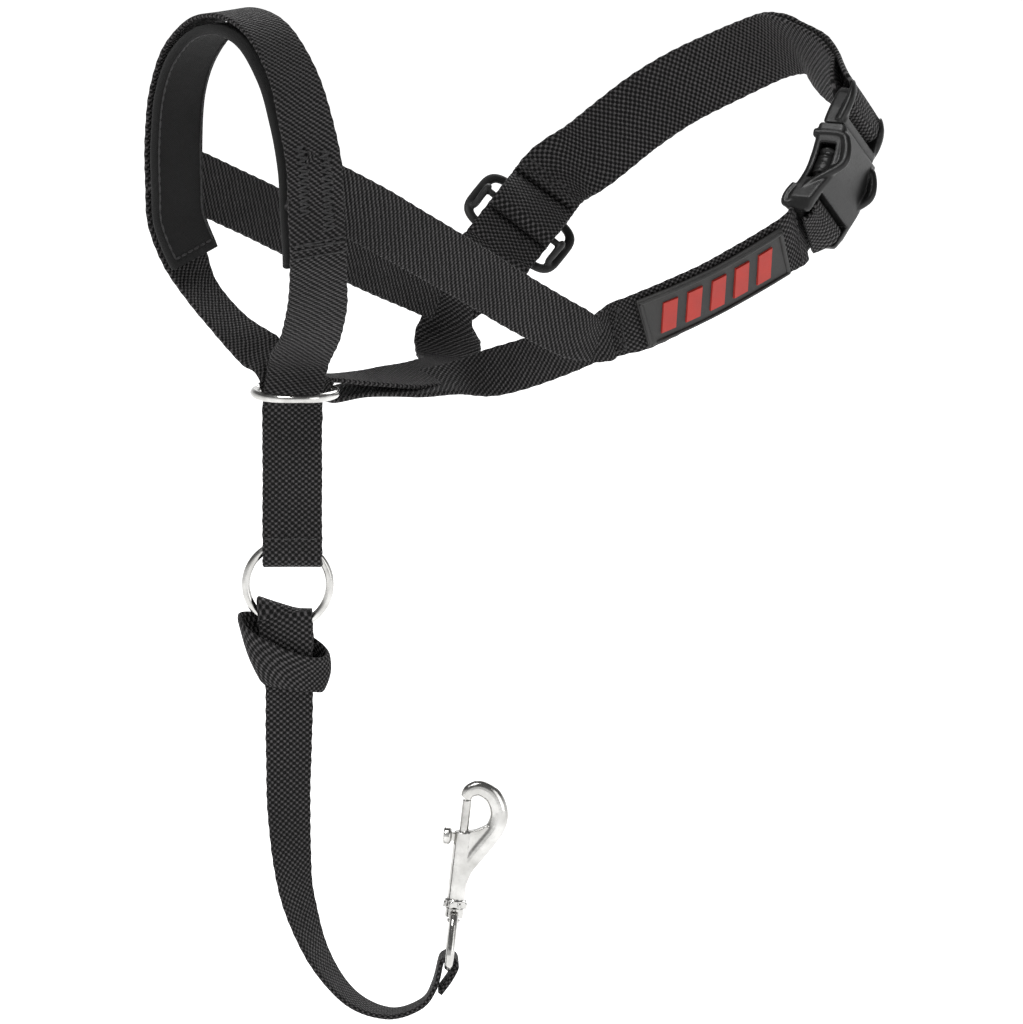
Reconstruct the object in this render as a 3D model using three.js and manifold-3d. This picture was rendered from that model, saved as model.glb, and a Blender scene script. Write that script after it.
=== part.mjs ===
// A head halter for a dog, shown in its worn shape and hanging from the head it fits.
// Millimetres. +X runs from nose to neck, +Y to the far cheek, +Z up; the origin is the nose loop's centre.
import * as THREE from 'three';
import { mergeVertices } from 'three/addons/utils/BufferGeometryUtils.js';
import Module from 'manifold-3d';

const wasm = await Module();
wasm.setup();

// ---- driving dimensions -------------------------------------------------------------------------
const GAP = 0.3; // between pieces that touch
const WEB = 1.6; // thickness of every webbing
const LAYER = WEB + GAP; // from one sewn layer's middle to the next
const NOSE_WIDTH = 20; // nose band, cheek straps and jaw strap
const NECK_WIDTH = 25;
const PULL_WIDTH = 19;
const SAFETY_WIDTH = 16;
const PAD_WIDTH = 23;
const PAD_THICK = 3;
const LOOP_HALF = 36.5; // half the nose loop's width, at the webbing's middle
const BUCKLE_FILL = 0.94; // the share of its width that the neck strap keeps in the buckle
const LOOP_TOP = 57;
const CHIN = [24, 0, -75]; // centre of the chin ring
const CHIN_RING = 13.5; // to the middle of its wire
const CHIN_WIRE = 1.5;
const LEAD_RING = 13.9;
const LEAD_WIRE = 1.4;
const LEAD_DROP = -65.6; // the lead ring's centre, below the chin ring
const HANG_TURN = -42; // degrees: the hanging pieces lie in a vertical plane turned this much
const PULL_SHIFT = -1;
const SNAP_BASE = [52.9, 0, -173.2]; // the snap's swivel face, in the hanging frame
const SNAP_LEAN = 6.5; // degrees from upright

// ---- vectors and frames ---------------------------------------------------------------------------
const vec = (p) => new THREE.Vector3(p[0], p[1], p[2]);
const rad = THREE.MathUtils.degToRad;

// A frame whose y runs along one direction and whose x lies close to another.
function frameAt(origin, along, across) {
  const y = vec(along).normalize();
  const z = vec(across).cross(y).normalize();
  const x = y.clone().cross(z);
  return new THREE.Matrix4().makeBasis(x, y, z).setPosition(vec(origin));
}

const HANG = new THREE.Matrix4().makeRotationZ(rad(HANG_TURN)).setPosition(vec(CHIN));
const BUCKLE = frameAt([215.5, -55.4, -15.8], [0.533, 0.219, 0.813], [0.7, 0.32, -0.64]);
const SLIDER = frameAt([169.2, 50.6, -41.1], [0.845, 0.219, 0.486], [0.52, -0.61, -0.59]);
const SNAP = HANG.clone().multiply(
  new THREE.Matrix4().makeRotationY(rad(SNAP_LEAN)).setPosition(vec(SNAP_BASE)),
);

const pointIn = (frame, p) => vec(p).applyMatrix4(frame).toArray();
const wayIn = (frame, p) => vec(p).transformDirection(frame).toArray();

// ---- webbing -----------------------------------------------------------------------------------------
// A station is a point on a strap's middle, the direction across its width, and how wide it is there.
const station = (at, across, fill = 1) => ({ at, across, fill });
const stationIn = (frame, at, across, fill = 1) => station(pointIn(frame, at), wayIn(frame, across), fill);

class StrapPath extends THREE.CatmullRomCurve3 {
  constructor(stations) {
    super(stations.map((s) => vec(s.at)), false, 'catmullrom', 0.5);
    this.acrossCurve = new THREE.CatmullRomCurve3(stations.map((s) => vec(s.across)), false, 'catmullrom', 0.5);
    this.fills = stations.map((s) => s.fill);
  }

  fillAt(t) {
    const place = t * (this.fills.length - 1);
    const low = Math.min(Math.floor(place), this.fills.length - 2);
    return THREE.MathUtils.lerp(this.fills[low], this.fills[low + 1], place - low);
  }

  // Rings are spaced by station, so that tight folds get short steps.
  getSpacedPoints(steps) {
    return this.getPoints(steps);
  }

  computeFrenetFrames(steps) {
    const frames = { tangents: [], normals: [], binormals: [] };
    for (let i = 0; i <= steps; i += 1) {
      const t = i / steps;
      const tangent = this.getTangent(t);
      const across = this.acrossCurve.getPoint(t);
      across.addScaledVector(tangent, -across.dot(tangent)).normalize();
      frames.tangents.push(tangent);
      frames.binormals.push(tangent.clone().cross(across));
      frames.normals.push(across.multiplyScalar(this.fillAt(t)));
    }
    return frames;
  }
}

function rectangle(width, low, high) {
  const shape = new THREE.Shape();
  shape.moveTo(-width / 2, low);
  shape.lineTo(width / 2, low);
  shape.lineTo(width / 2, high);
  shape.lineTo(-width / 2, high);
  shape.closePath();
  return shape;
}

// lift moves the sheet off its path, along path direction x across.
function strapGeometry(stations, width, { thick = WEB, lift = 0, steps = 3 } = {}) {
  const section = rectangle(width, lift - thick / 2, lift + thick / 2);
  const path = new StrapPath(stations);
  return new THREE.ExtrudeGeometry(section, { extrudePath: path, steps: steps * (stations.length - 1) });
}

// Stations read off another strap's middle, so that a second layer follows it exactly.
function layerAlong(stations, from, to, count) {
  const path = new StrapPath(stations);
  const layer = [];
  for (let i = 0; i <= count; i += 1) {
    const t = THREE.MathUtils.lerp(from, to, i / count) / (stations.length - 1);
    layer.push(station(path.getPoint(t).toArray(), path.acrossCurve.getPoint(t).toArray()));
  }
  return layer;
}

// Stations of a fold of the webbing about a bar, from one angle to another in degrees.
function fold(frame, centre, radius, from, to, side, up, across, fill = 1, count = 4) {
  const stations = [];
  for (let i = 0; i <= count; i += 1) {
    const angle = rad(THREE.MathUtils.lerp(from, to, i / count));
    const at = vec(centre)
      .addScaledVector(vec(side), radius * Math.cos(angle))
      .addScaledVector(vec(up), radius * Math.sin(angle));
    stations.push(stationIn(frame, at.toArray(), across, fill));
  }
  return stations;
}

// ---- solids -------------------------------------------------------------------------------------------
function solid(geometry) {
  const bare = geometry.clone();
  bare.deleteAttribute('normal');
  bare.deleteAttribute('uv');
  const merged = mergeVertices(bare, 1e-4);
  const index = merged.index.array;
  const vertProperties = new Float32Array(merged.attributes.position.array);
  return new wasm.Manifold(new wasm.Mesh({ numProp: 3, vertProperties, triVerts: new Uint32Array(index) }));
}

function geometryOf(manifold) {
  const mesh = manifold.getMesh();
  const geometry = new THREE.BufferGeometry();
  geometry.setAttribute('position', new THREE.BufferAttribute(new Float32Array(mesh.vertProperties), 3));
  geometry.setIndex(new THREE.BufferAttribute(new Uint32Array(mesh.triVerts), 1));
  return geometry;
}

function block(x0, x1, y0, y1, z0, z1) {
  const box = new THREE.BoxGeometry(x1 - x0, y1 - y0, z1 - z0);
  return box.translate((x0 + x1) / 2, (y0 + y1) / 2, (z0 + z1) / 2);
}

// An upright post about the local z axis.
function post(radius, low, high, sides = 20) {
  const cylinder = new THREE.CylinderGeometry(radius, radius, high - low, sides);
  return cylinder.rotateX(Math.PI / 2).translate(0, 0, (low + high) / 2);
}

function outline(points) {
  return new THREE.Shape(points.map((p) => new THREE.Vector2(p[0], p[1])));
}

function plate(points, low, high, bevel) {
  const options = {
    depth: high - low - 2 * bevel,
    bevelEnabled: bevel > 0,
    bevelThickness: bevel,
    bevelSize: bevel,
    bevelOffset: -bevel,
    bevelSegments: 2,
    curveSegments: 6,
  };
  return new THREE.ExtrudeGeometry(outline(points), options).translate(0, 0, low + bevel);
}

// A ring of round wire about the local z axis. Its flat inner facets face the axis.
function wireRing(radius, wire, around = 32, sides = 10) {
  const profile = [];
  for (let i = 0; i <= sides; i += 1) {
    const angle = (2 * Math.PI * (i + 0.5)) / sides;
    profile.push(new THREE.Vector2(radius + wire * Math.cos(angle), wire * Math.sin(angle)));
  }
  profile[sides].copy(profile[0]);
  return new THREE.LatheGeometry(profile, around).rotateX(Math.PI / 2);
}

function roundRod(points, radius, steps, sides = 8) {
  const section = new THREE.Shape();
  section.absarc(0, 0, radius, 0, 2 * Math.PI);
  const path = new THREE.CatmullRomCurve3(points.map(vec), false, 'catmullrom', 0.5);
  return new THREE.ExtrudeGeometry(section, { extrudePath: path, steps, curveSegments: sides });
}

// ---- materials and the group ------------------------------------------------------------------------
const webbing = { color: 0x1c1c1e, roughness: 0.85, metalness: 0 };
const plastic = { color: 0x141415, roughness: 0.4, metalness: 0 };
const rubber = { color: 0x18181a, roughness: 0.6, metalness: 0 };
const red = { color: 0xb5281e, roughness: 0.5, metalness: 0 };
const foam = { color: 0x161617, roughness: 0.95, metalness: 0 };
const nickel = { color: 0xd8d8d6, roughness: 0.2, metalness: 1 };

const group = new THREE.Group();

function add(name, geometry, look, frame = null) {
  const mesh = new THREE.Mesh(geometry, new THREE.MeshStandardMaterial(look));
  mesh.name = name;
  if (frame) {
    mesh.applyMatrix4(frame);
  }
  group.add(mesh);
}

// ---- nose loop ------------------------------------------------------------------------------------------
// From the near tail's lower end, up and over the nose, to the far tail's lower end.
const ALONG_NOSE = [1, 0, 0];
const FACING = [0.743, -0.669, 0]; // the hanging pieces' width direction

function noseSide(side) {
  return [
    station([21, 3.6 * side - 1, -66.5], FACING, 0.95),
    station([18, 9.6 * side, -61], FACING, 0.95),
    station([13.6, 19 * side, -53], [0.9, -0.43, 0]),
    station([9, 27.5 * side, -42], ALONG_NOSE),
    station([4.5, 33.4 * side, -31], ALONG_NOSE),
    station([1.2, LOOP_HALF * side, -19], ALONG_NOSE),
    station([0.2, LOOP_HALF * side, -7], ALONG_NOSE),
    station([0, LOOP_HALF * side, 8], ALONG_NOSE),
    station([0, (LOOP_HALF - 2) * side, 25], ALONG_NOSE),
    station([0, 28 * side, 40], ALONG_NOSE),
    station([0, 15.5 * side, 52.5], ALONG_NOSE),
  ];
}

const nosePath = [...noseSide(-1), station([0, 0, LOOP_TOP], ALONG_NOSE), ...noseSide(1).reverse()];
const PAD_FIRST = 4.1; // the pad's lower end, counted in the band's stations
const padPath = layerAlong(nosePath, PAD_FIRST, nosePath.length - 1 - PAD_FIRST, 18);

// ---- straps from the nose loop to the junctions --------------------------------------------------------
const NEAR = -1;
const UNDER_BAND = LOOP_HALF - LAYER;

const NEAR_NECK = -41; // the near junction's layers, neck strap innermost
const NEAR_JAW = NEAR_NECK - LAYER;
const NEAR_CHEEK = NEAR_JAW - LAYER;
const FAR_CHEEK = 38.4; // the far junction's layers, cheek strap innermost
const FAR_JAW = FAR_CHEEK + LAYER + 0.2;
const FAR_NECK = FAR_JAW + LAYER + 0.7;

const nearCheek = [
  station([-6, NEAR * UNDER_BAND, 0.5], [0.41, 0, 0.91]),
  station([8, NEAR * UNDER_BAND, -6], [0.41, 0, 0.91]),
  station([30, -36.5, -16.2], [0.41, -0.04, 0.9]),
  station([60, -39.7, -29.7], [0.41, -0.04, 0.9]),
  station([90, -42.8, -43.6], [0.41, 0, 0.9]),
  station([112, NEAR_CHEEK, -53.5], [0.41, 0, 0.91]),
  station([126, NEAR_CHEEK, -59.8], [0.41, 0, 0.91]),
];

const farCheek = [
  station([-6, UNDER_BAND, 1], [0.42, 0, 0.91]),
  station([8, UNDER_BAND, -5.4], [0.42, 0, 0.91]),
  station([30, 35.2, -15.7], [0.42, 0, 0.91]),
  station([60, 36.2, -29.6], [0.42, 0, 0.91]),
  station([90, 37.4, -43], [0.42, 0, 0.91]),
  station([110, FAR_CHEEK - 0.2, -51.6], [0.42, 0, 0.91]),
  station([123, FAR_CHEEK, -57.2], [0.42, 0, 0.91]),
];

// The jaw strap runs from the near junction to the chin ring, folds round its rear and runs on to the far one.
const JAW_FOLD = [36.8, 0, -75];
const JAW_FOLD_RADIUS = 3.4;
const GATHERED = 0.62; // its width at the ring, as a share
const identity = new THREE.Matrix4();

const jawPath = [
  station([126, NEAR_JAW, -62.2], [-0.5, 0, 0.86]),
  station([121.5, NEAR_JAW, -65], [-0.5, 0, 0.86]),
  station([117.5, -39.5, -68.4], [-0.42, 0.1, 0.9]),
  station([113, -30, -72.6], [-0.2, 0.25, 0.94]),
  station([105, -16, -76], [0, 0.6, 0.8]),
  station([92, -5.5, -79], [0, 0.93, 0.36]),
  station([70, -1.5, -78], [0, 0.97, 0.2], 0.98),
  station([50, 0, -77.4], [0, 1, 0.06], 0.8),
  ...fold(identity, JAW_FOLD, JAW_FOLD_RADIUS, -90, -270, [1, 0, 0], [0, 0, 1], [0, 1, 0], GATHERED, 6),
  station([50, 0, -73.6], [0, 1, 0.06], 0.8),
  station([70, 1, -75.6], [0, 0.97, 0.2], 0.98),
  station([92, 5, -76.8], [-0.1, 0.95, 0.3]),
  station([108, 15, -78], [-0.35, 0.9, 0.25]),
  station([120, 29, -78], [-0.75, 0.65, 0.1]),
  station([126.6, 37.4, -73.6], [-0.88, 0.46, 0]),
  station([129.2, FAR_JAW, -67], [-0.98, 0.04, 0.2]),
  station([131.5, FAR_JAW, -58], [-0.97, 0, 0.24]),
];

// ---- neck strap, near half ---------------------------------------------------------------------------------
const BUCKLE_BAR = -19.5; // the female bar, along the buckle
const BAR_FOLD = 3.3;
const PATCH_START = station([138.1, -45, -58.1], [-0.44, -0.06, 0.88]);
const PATCH_MIDDLE = station([161, -54.6, -47.8], [-0.5, -0.2, 0.84]);
const PATCH_END = station([184.5, -59.6, -38.6], [-0.53, -0.22, 0.82]);

const nearNeck = [
  station([125.5, NEAR_NECK, -62], [-0.36, 0, 0.93]),
  station([133, NEAR_NECK, -59.8], [-0.38, 0, 0.92]),
  PATCH_START,
  PATCH_MIDDLE,
  PATCH_END,
  stationIn(BUCKLE, [0, -29.5, -1.8], [-1, 0, 0], BUCKLE_FILL),
  stationIn(BUCKLE, [0, -24, -2.9], [-1, 0, 0], BUCKLE_FILL),
  ...fold(BUCKLE, [0, BUCKLE_BAR, 0], BAR_FOLD, -90, 90, [0, 1, 0], [0, 0, 1], [-1, 0, 0], BUCKLE_FILL, 6),
  stationIn(BUCKLE, [0, -25, 2.9], [-1, 0, 0], BUCKLE_FILL),
  station([198.4, -64.2, -38], [-0.68, -0.31, 0.66]),
];
const PATCH_FROM = 2.05; // counted in the stations above
const PATCH_TO = 3.9;

// ---- neck strap, far half ------------------------------------------------------------------------------------
const SLIDER_ACROSS = [-1, 0, 0];
const straight = (along) => stationIn(SLIDER, [0, along, 0], SLIDER_ACROSS);
const STRAIGHT_FROM = -18.5;
const STRAIGHT_TO = 26.5;
const SEWN_FROM = 14.5;

const overNeck = [
  station([204.2, 54.4, -21.8], [-0.3, 0.4, 0.86]),
  station([219.5, 48.6, -11], [-0.12, 0.34, 0.94]),
  station([229.8, 38.4, -1.3], [-0.12, 0.32, 0.94]),
  station([237.2, 24, 8], [-0.24, 0.16, 0.95]),
  station([243, 7, 15.3], [-0.38, -0.18, 0.9]),
  station([244.2, -9, 18.2], [-0.56, -0.14, 0.82]),
  station([240.5, -24, 15.6], [-0.64, -0.24, 0.73]),
  station([234.2, -37, 9.8], [-0.68, -0.3, 0.67]),
  stationIn(BUCKLE, [0, 30, -9.5], [-1, 0, 0]),
];

const farNeck = [
  station([128, FAR_NECK, -61.6], [-0.48, 0, 0.87]),
  station([137, FAR_NECK + 0.6, -57.6], [-0.5, 0.15, 0.85]),
  straight(STRAIGHT_FROM),
  straight(-12),
  straight(0),
  straight(12),
  straight(STRAIGHT_TO),
  ...overNeck,
];
const FAR_STEPS = 6; // rings for each station, close enough for two twisting layers to clear
const RETURN_FROM = 16 / 3; // counted in the stations above

const RETURN_RINGS = 50;
const RETURN_TO = RETURN_FROM + RETURN_RINGS / FAR_STEPS;

const returnNeck = layerAlong(farNeck, RETURN_FROM, RETURN_TO, RETURN_RINGS);

// ---- neck buckle ------------------------------------------------------------------------------------------------
// Local x across, y from the female's strap bar to the male's, z away from the neck.
const SHELL_HALF = 5;
const CAVITY_HALF = 3;
const CAVITY_WIDE = 13.2;
const MOUTH = 11;
const SLOT_WIDE = 13;

function buckleFemale() {
  const edge = [
    [16, MOUTH],
    [15.6, 6],
    [14.8, 0],
    [14.8, -6],
    [15.8, -12],
    [16.4, -17],
    [15, -21.2],
  ];
  const mirrored = edge.map((p) => [-p[0], p[1]]).reverse();
  const cavity = block(-CAVITY_WIDE, CAVITY_WIDE, -12, MOUTH + 1, -CAVITY_HALF, CAVITY_HALF);
  const windows = block(-20, 20, -9, 4, -2.6, 2.6);
  const strapSlot = block(-SLOT_WIDE, SLOT_WIDE, -17.7, -13.4, -8, 8);
  const barTop = block(-SLOT_WIDE, SLOT_WIDE, -25, -17.5, 1.4, 8);
  const barUnder = block(-SLOT_WIDE, SLOT_WIDE, -25, -17.5, -8, -1.4);
  let shell = solid(plate([...edge, ...mirrored], -SHELL_HALF, SHELL_HALF, 1.4));
  for (const cut of [cavity, windows, strapSlot, barTop, barUnder]) {
    shell = shell.subtract(solid(cut));
  }
  return geometryOf(shell);
}

function buckleMaleBase() {
  const edge = [
    [15.6, MOUTH + GAP],
    [15.2, 17],
    [14.4, 22],
    [12.6, 25.5],
  ];
  const mirrored = edge.map((p) => [-p[0], p[1]]).reverse();
  const body = solid(plate([...edge, ...mirrored], -4, 4, 1.2));
  const strapSlot = block(-SLOT_WIDE, SLOT_WIDE, 14.6, 20, -8, 8);
  const barTop = block(-SLOT_WIDE, SLOT_WIDE, 19.7, 30, 1.4, 8);
  const barUnder = block(-SLOT_WIDE, SLOT_WIDE, 19.7, 30, -8, -1.4);
  const barEnd = block(-SLOT_WIDE, SLOT_WIDE, 22.8, 30, -8, 8);
  const guide = block(-2.6, 2.6, -8, MOUTH + 2, -1.4, 1.4);
  let base = body;
  for (const cut of [strapSlot, barTop, barUnder, barEnd]) {
    base = base.subtract(solid(cut));
  }
  return geometryOf(base.add(solid(guide)));
}

// A springy prong with its press pad, on the side of positive x.
function buckleProng(side) {
  const shape = [
    [8.2, MOUTH],
    [8, 4],
    [6.8, 0],
    [6.8, -7],
    [9, -9.4],
    [11, -7.6],
    [12.6, -3],
    [12.4, 2],
    [10.8, 3.4],
    [10.6, MOUTH],
  ];
  const points = side > 0 ? shape : shape.map((p) => [-p[0], p[1]]).reverse();
  return plate(points, -2.2, 2.2, 0.4);
}

const buckleLoop = [
  stationIn(BUCKLE, [0, 32, 2.2], [-1, 0, 0], BUCKLE_FILL),
  stationIn(BUCKLE, [0, 27, 2.7], [-1, 0, 0], BUCKLE_FILL),
  ...fold(BUCKLE, [0, 21.4, 0], 3.1, 90, 270, [0, 1, 0], [0, 0, 1], [-1, 0, 0], BUCKLE_FILL, 6),
  stationIn(BUCKLE, [0, 27, -2.7], [-1, 0, 0], BUCKLE_FILL),
  stationIn(BUCKLE, [0, 32, -2.2], [-1, 0, 0], BUCKLE_FILL),
];

// ---- neck slider -------------------------------------------------------------------------------------------------
// Two cross bars lie outside the strap and a raised one inside it, with the strap running straight between.
const CENTRE_BAR = 4.2;
const FOLD_RADIUS = 1.1 + GAP + WEB / 2;

function neckSlider() {
  const corner = [
    [16.2, 8.4],
    [16.2, -8.4],
    [13.6, -11],
    [-13.6, -11],
    [-16.2, -8.4],
    [-16.2, 8.4],
    [-13.6, 11],
    [13.6, 11],
  ].reverse();
  const body = solid(plate(corner, -3.2, 5.4, 0.8));
  const window = solid(block(-13.1, 13.1, -7.4, 7.4, -9, 9));
  const insideCut = solid(block(-13.1, 13.1, -12, 12, -1.1, 9));
  const centre = solid(block(-13.4, 13.4, -1.5, 1.5, CENTRE_BAR - 1.1, CENTRE_BAR + 1.1));
  return geometryOf(body.subtract(window).subtract(insideCut).add(centre));
}

const sewnEnd = [
  stationIn(SLIDER, [0, SEWN_FROM, LAYER], SLIDER_ACROSS),
  stationIn(SLIDER, [0, 9, LAYER], SLIDER_ACROSS),
  stationIn(SLIDER, [0, 4, LAYER + 0.05], SLIDER_ACROSS),
  ...fold(SLIDER, [0, -0.6, CENTRE_BAR], FOLD_RADIUS + 0.1, 270, 90, [0, 1, 0], [0, 0, 1], SLIDER_ACROSS, 1, 6),
  stationIn(SLIDER, [0, 5, CENTRE_BAR + 1.9], SLIDER_ACROSS),
  stationIn(SLIDER, [0, 12, CENTRE_BAR - 0.1], SLIDER_ACROSS),
];

// ---- pull strap, lead ring and safety strap ---------------------------------------------------------------------
// Hanging frame: x across, y away from the near side, z up, from the chin ring's centre.
const SIDEWAYS = [1, 0, 0];
const AWAY = [0, 1, 0];
const UP = [0, 0, 1];
const hang = (x, y, z, across = SIDEWAYS) => stationIn(HANG, [x, y, z], across);
const PULL_FOLD = -55.4;
const PULL_FOLD_RADIUS = 3.8;

function pullSide(side) {
  return [
    hang(PULL_SHIFT, 1.1 * side, 1),
    hang(PULL_SHIFT, 1.1 * side, -18),
    hang(PULL_SHIFT, 1.3 * side, -38),
    hang(PULL_SHIFT, 3 * side, -48),
  ];
}

const pullPath = [
  ...pullSide(-1),
  ...fold(HANG, [PULL_SHIFT, 0, PULL_FOLD], PULL_FOLD_RADIUS, 180, 360, AWAY, UP, SIDEWAYS, 1, 8),
  ...pullSide(1).reverse(),
];

const turned = (degrees) => [Math.cos(rad(degrees)), Math.sin(rad(degrees)), 0];
const EYE_BAR = -19.2; // along the snap, from its swivel face
const EYE_WIRE = 1.4;
const EYE_FOLD = 2.8;
const eyeCentre = vec([0, 0, EYE_BAR]).applyAxisAngle(vec(AWAY), rad(SNAP_LEAN)).add(vec(SNAP_BASE)).toArray();
const RISE = [0.49, 0, 0.87]; // the way the end loop rises to the eye
const RISE_SIDE = [0.87, 0, -0.49];

function besideEye(along, out) {
  const at = vec(eyeCentre).addScaledVector(vec(RISE), along).addScaledVector(vec(RISE_SIDE), out);
  return stationIn(HANG, at.toArray(), AWAY);
}

const safetyPath = [
  hang(-2.4, 1.2, -92),
  hang(-2.8, 2.4, -84),
  ...fold(HANG, [-3.2, 0, -75.2], 3.4, 0, 180, AWAY, UP, SIDEWAYS, 1, 6),
  hang(-2.8, -2.4, -84),
  hang(-2.5, -1.2, -93),
  hang(-2.1, 0, -104),
  hang(-2.9, 0, -120, turned(4)),
  hang(-2.8, 0, -138, turned(10)),
  hang(-1.9, 0, -156, turned(22)),
  hang(0.4, 0, -172, turned(42)),
  hang(7.4, 0, -191, turned(62)),
  hang(18, 0, -204.6, turned(76)),
  hang(31, 0, -210.2, turned(84)),
  besideEye(-10, 3.4),
  ...fold(HANG, eyeCentre, EYE_FOLD, 0, 180, RISE_SIDE, RISE, AWAY, 1, 6),
  besideEye(-5, -2),
  besideEye(-10.5, 0.9),
];

function keeper() {
  const ring = (wide, deep) => {
    const shape = new THREE.Shape();
    shape.absellipse(0, 0, wide, deep, 0, 2 * Math.PI);
    return shape;
  };
  const body = ring(14, 7);
  body.holes.push(ring(14 - WEB, 7 - WEB));
  const tube = new THREE.ExtrudeGeometry(body, { depth: 17, bevelEnabled: false, curveSegments: 14 });
  return tube.translate(-2.6, 0, -100);
}

// ---- bolt snap ---------------------------------------------------------------------------------------------------
// Snap frame: z along the snap from its swivel face, x towards the hook, y along the eye's bar.
const BARREL = 3.4;
const BARREL_TOP = 25;
const BORE = 2;
const BORE_FLOOR = 4;
const BOLT = 1.6;
const BOLT_FOOT = 16;
const BOLT_TIP = 36;
const KNOB_AT = 23.4;
const EYE_HALF = 10; // half the eye's width, to the middle of its wire

function snapEye() {
  const side = [
    [0, 1.5, -2],
    [0, 5.6, -4],
    [0, EYE_HALF - 1, -11],
    [0, EYE_HALF, EYE_BAR + 3],
    [0, EYE_HALF - 2.5, EYE_BAR],
  ];
  const otherSide = side.map((p) => [p[0], -p[1], p[2]]).reverse();
  const wireLoop = roundRod([...side, [0, 0, EYE_BAR], ...otherSide], EYE_WIRE, 36);
  const boss = solid(post(3.1, -3.6, -GAP));
  const hole = solid(post(1.3, -9, 3));
  return geometryOf(solid(wireLoop).add(boss).subtract(hole));
}

function snapBody() {
  const hook = roundRod(
    [
      [1.2, 0, 11],
      [4, 0, 15.5],
      [8, 0, 21],
      [11.6, 0, 26.5],
      [12.4, 0, 32.5],
      [10, 0, 38],
      [5.4, 0, 40.8],
      [1.4, 0, 40.3],
      [-0.2, 0, 37.4],
    ],
    2,
    24,
  );
  const stem = solid(post(1, -4.8, 1)).add(solid(post(2, -5.6, -4.3)));
  const slot = block(-6, 0, -1.5, 1.5, 13, BARREL_TOP + 1);
  const throat = post(BOLT + 0.5, BARREL_TOP - 2, BOLT_TIP + 0.5);
  return geometryOf(
    solid(post(BARREL, 0, BARREL_TOP))
      .add(solid(hook))
      .add(stem)
      .subtract(solid(post(BORE, BORE_FLOOR, BARREL_TOP + 1)))
      .subtract(solid(slot))
      .subtract(solid(throat)),
  );
}

function snapBolt() {
  const rod = solid(post(BOLT, BOLT_FOOT, BOLT_TIP, 16));
  const neck = solid(block(-4.4, 0, -1.1, 1.1, KNOB_AT - 1.4, KNOB_AT + 1.4));
  const knob = new THREE.CylinderGeometry(2.4, 2.8, 1.8, 16).rotateZ(Math.PI / 2).translate(-5.1, 0, KNOB_AT);
  return geometryOf(rod.add(neck).add(solid(knob)));
}

function snapSpring() {
  const turns = 6;
  const perTurn = 10;
  const low = BORE_FLOOR + GAP + 0.3;
  const high = BOLT_FOOT - GAP - 0.3;
  const points = [];
  for (let i = 0; i <= turns * perTurn; i += 1) {
    const angle = (2 * Math.PI * i) / perTurn;
    points.push([1.25 * Math.cos(angle), 1.25 * Math.sin(angle), low + ((high - low) * i) / (turns * perTurn)]);
  }
  return roundRod(points, 0.25, turns * perTurn, 3);
}

// ---- the assembly ---------------------------------------------------------------------------------------------------
add('nose_band', strapGeometry(nosePath, NOSE_WIDTH), webbing);
add('nose_pad', strapGeometry(padPath, PAD_WIDTH, { steps: 1, thick: PAD_THICK, lift: LAYER + 0.8 + GAP + 1.6 }), foam);
add('near_cheek_strap', strapGeometry(nearCheek, NOSE_WIDTH), webbing);
add('far_cheek_strap', strapGeometry(farCheek, NOSE_WIDTH), webbing);
add('jaw_strap', strapGeometry(jawPath, NOSE_WIDTH), webbing);
add('chin_ring', wireRing(CHIN_RING, CHIN_WIRE).translate(...CHIN), nickel);

add('neck_strap_near', strapGeometry(nearNeck, NECK_WIDTH), webbing);
const patchPath = layerAlong(nearNeck, PATCH_FROM, PATCH_TO, 8);
add('label_patch', strapGeometry(patchPath, 21, { lift: LAYER + 0.25, steps: 1 }), rubber);
add('patch_motif', strapGeometry(patchPath, 9, { thick: 0.8, lift: LAYER + 1.85, steps: 1 }), red);

add('buckle_female', buckleFemale(), plastic, BUCKLE);
add('buckle_male_base', buckleMaleBase(), plastic, BUCKLE);
add('buckle_prong_upper', buckleProng(-1), plastic, BUCKLE);
add('buckle_prong_lower', buckleProng(1), plastic, BUCKLE);
add('neck_strap_buckle_loop', strapGeometry(buckleLoop, NECK_WIDTH), webbing);

add('neck_strap_far', strapGeometry(farNeck, NECK_WIDTH, { steps: FAR_STEPS }), webbing);
add('neck_strap_return', strapGeometry(returnNeck, NECK_WIDTH, { lift: LAYER + 0.5, steps: 1 }), webbing);
add('neck_strap_sewn_end', strapGeometry(sewnEnd, NECK_WIDTH), webbing);
add('slider', neckSlider(), plastic, SLIDER);

add('pull_strap', strapGeometry(pullPath, PULL_WIDTH), webbing);
const leadRing = wireRing(LEAD_RING, LEAD_WIRE, 36).rotateX(Math.PI / 2).translate(PULL_SHIFT, 0, LEAD_DROP);
add('lead_ring', leadRing, nickel, HANG);
add('safety_strap', strapGeometry(safetyPath, SAFETY_WIDTH), webbing);
add('safety_strap_keeper', keeper(), webbing, HANG);

add('snap_eye', snapEye(), nickel, SNAP);
add('snap_body', snapBody(), nickel, SNAP);
add('snap_bolt', snapBolt(), nickel, SNAP);
add('snap_spring', snapSpring(), nickel, SNAP);

export default group;
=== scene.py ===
# A head halter for a dog: webbing, neoprene pad, rubber patch, moulded buckle and slider, nickel rings and snap.
# Routes are in millimetres, in the CAD's frame; meshes are made in metres.
import math

import bmesh
import bpy
import numpy as np
from mathutils import Matrix, Vector


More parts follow.
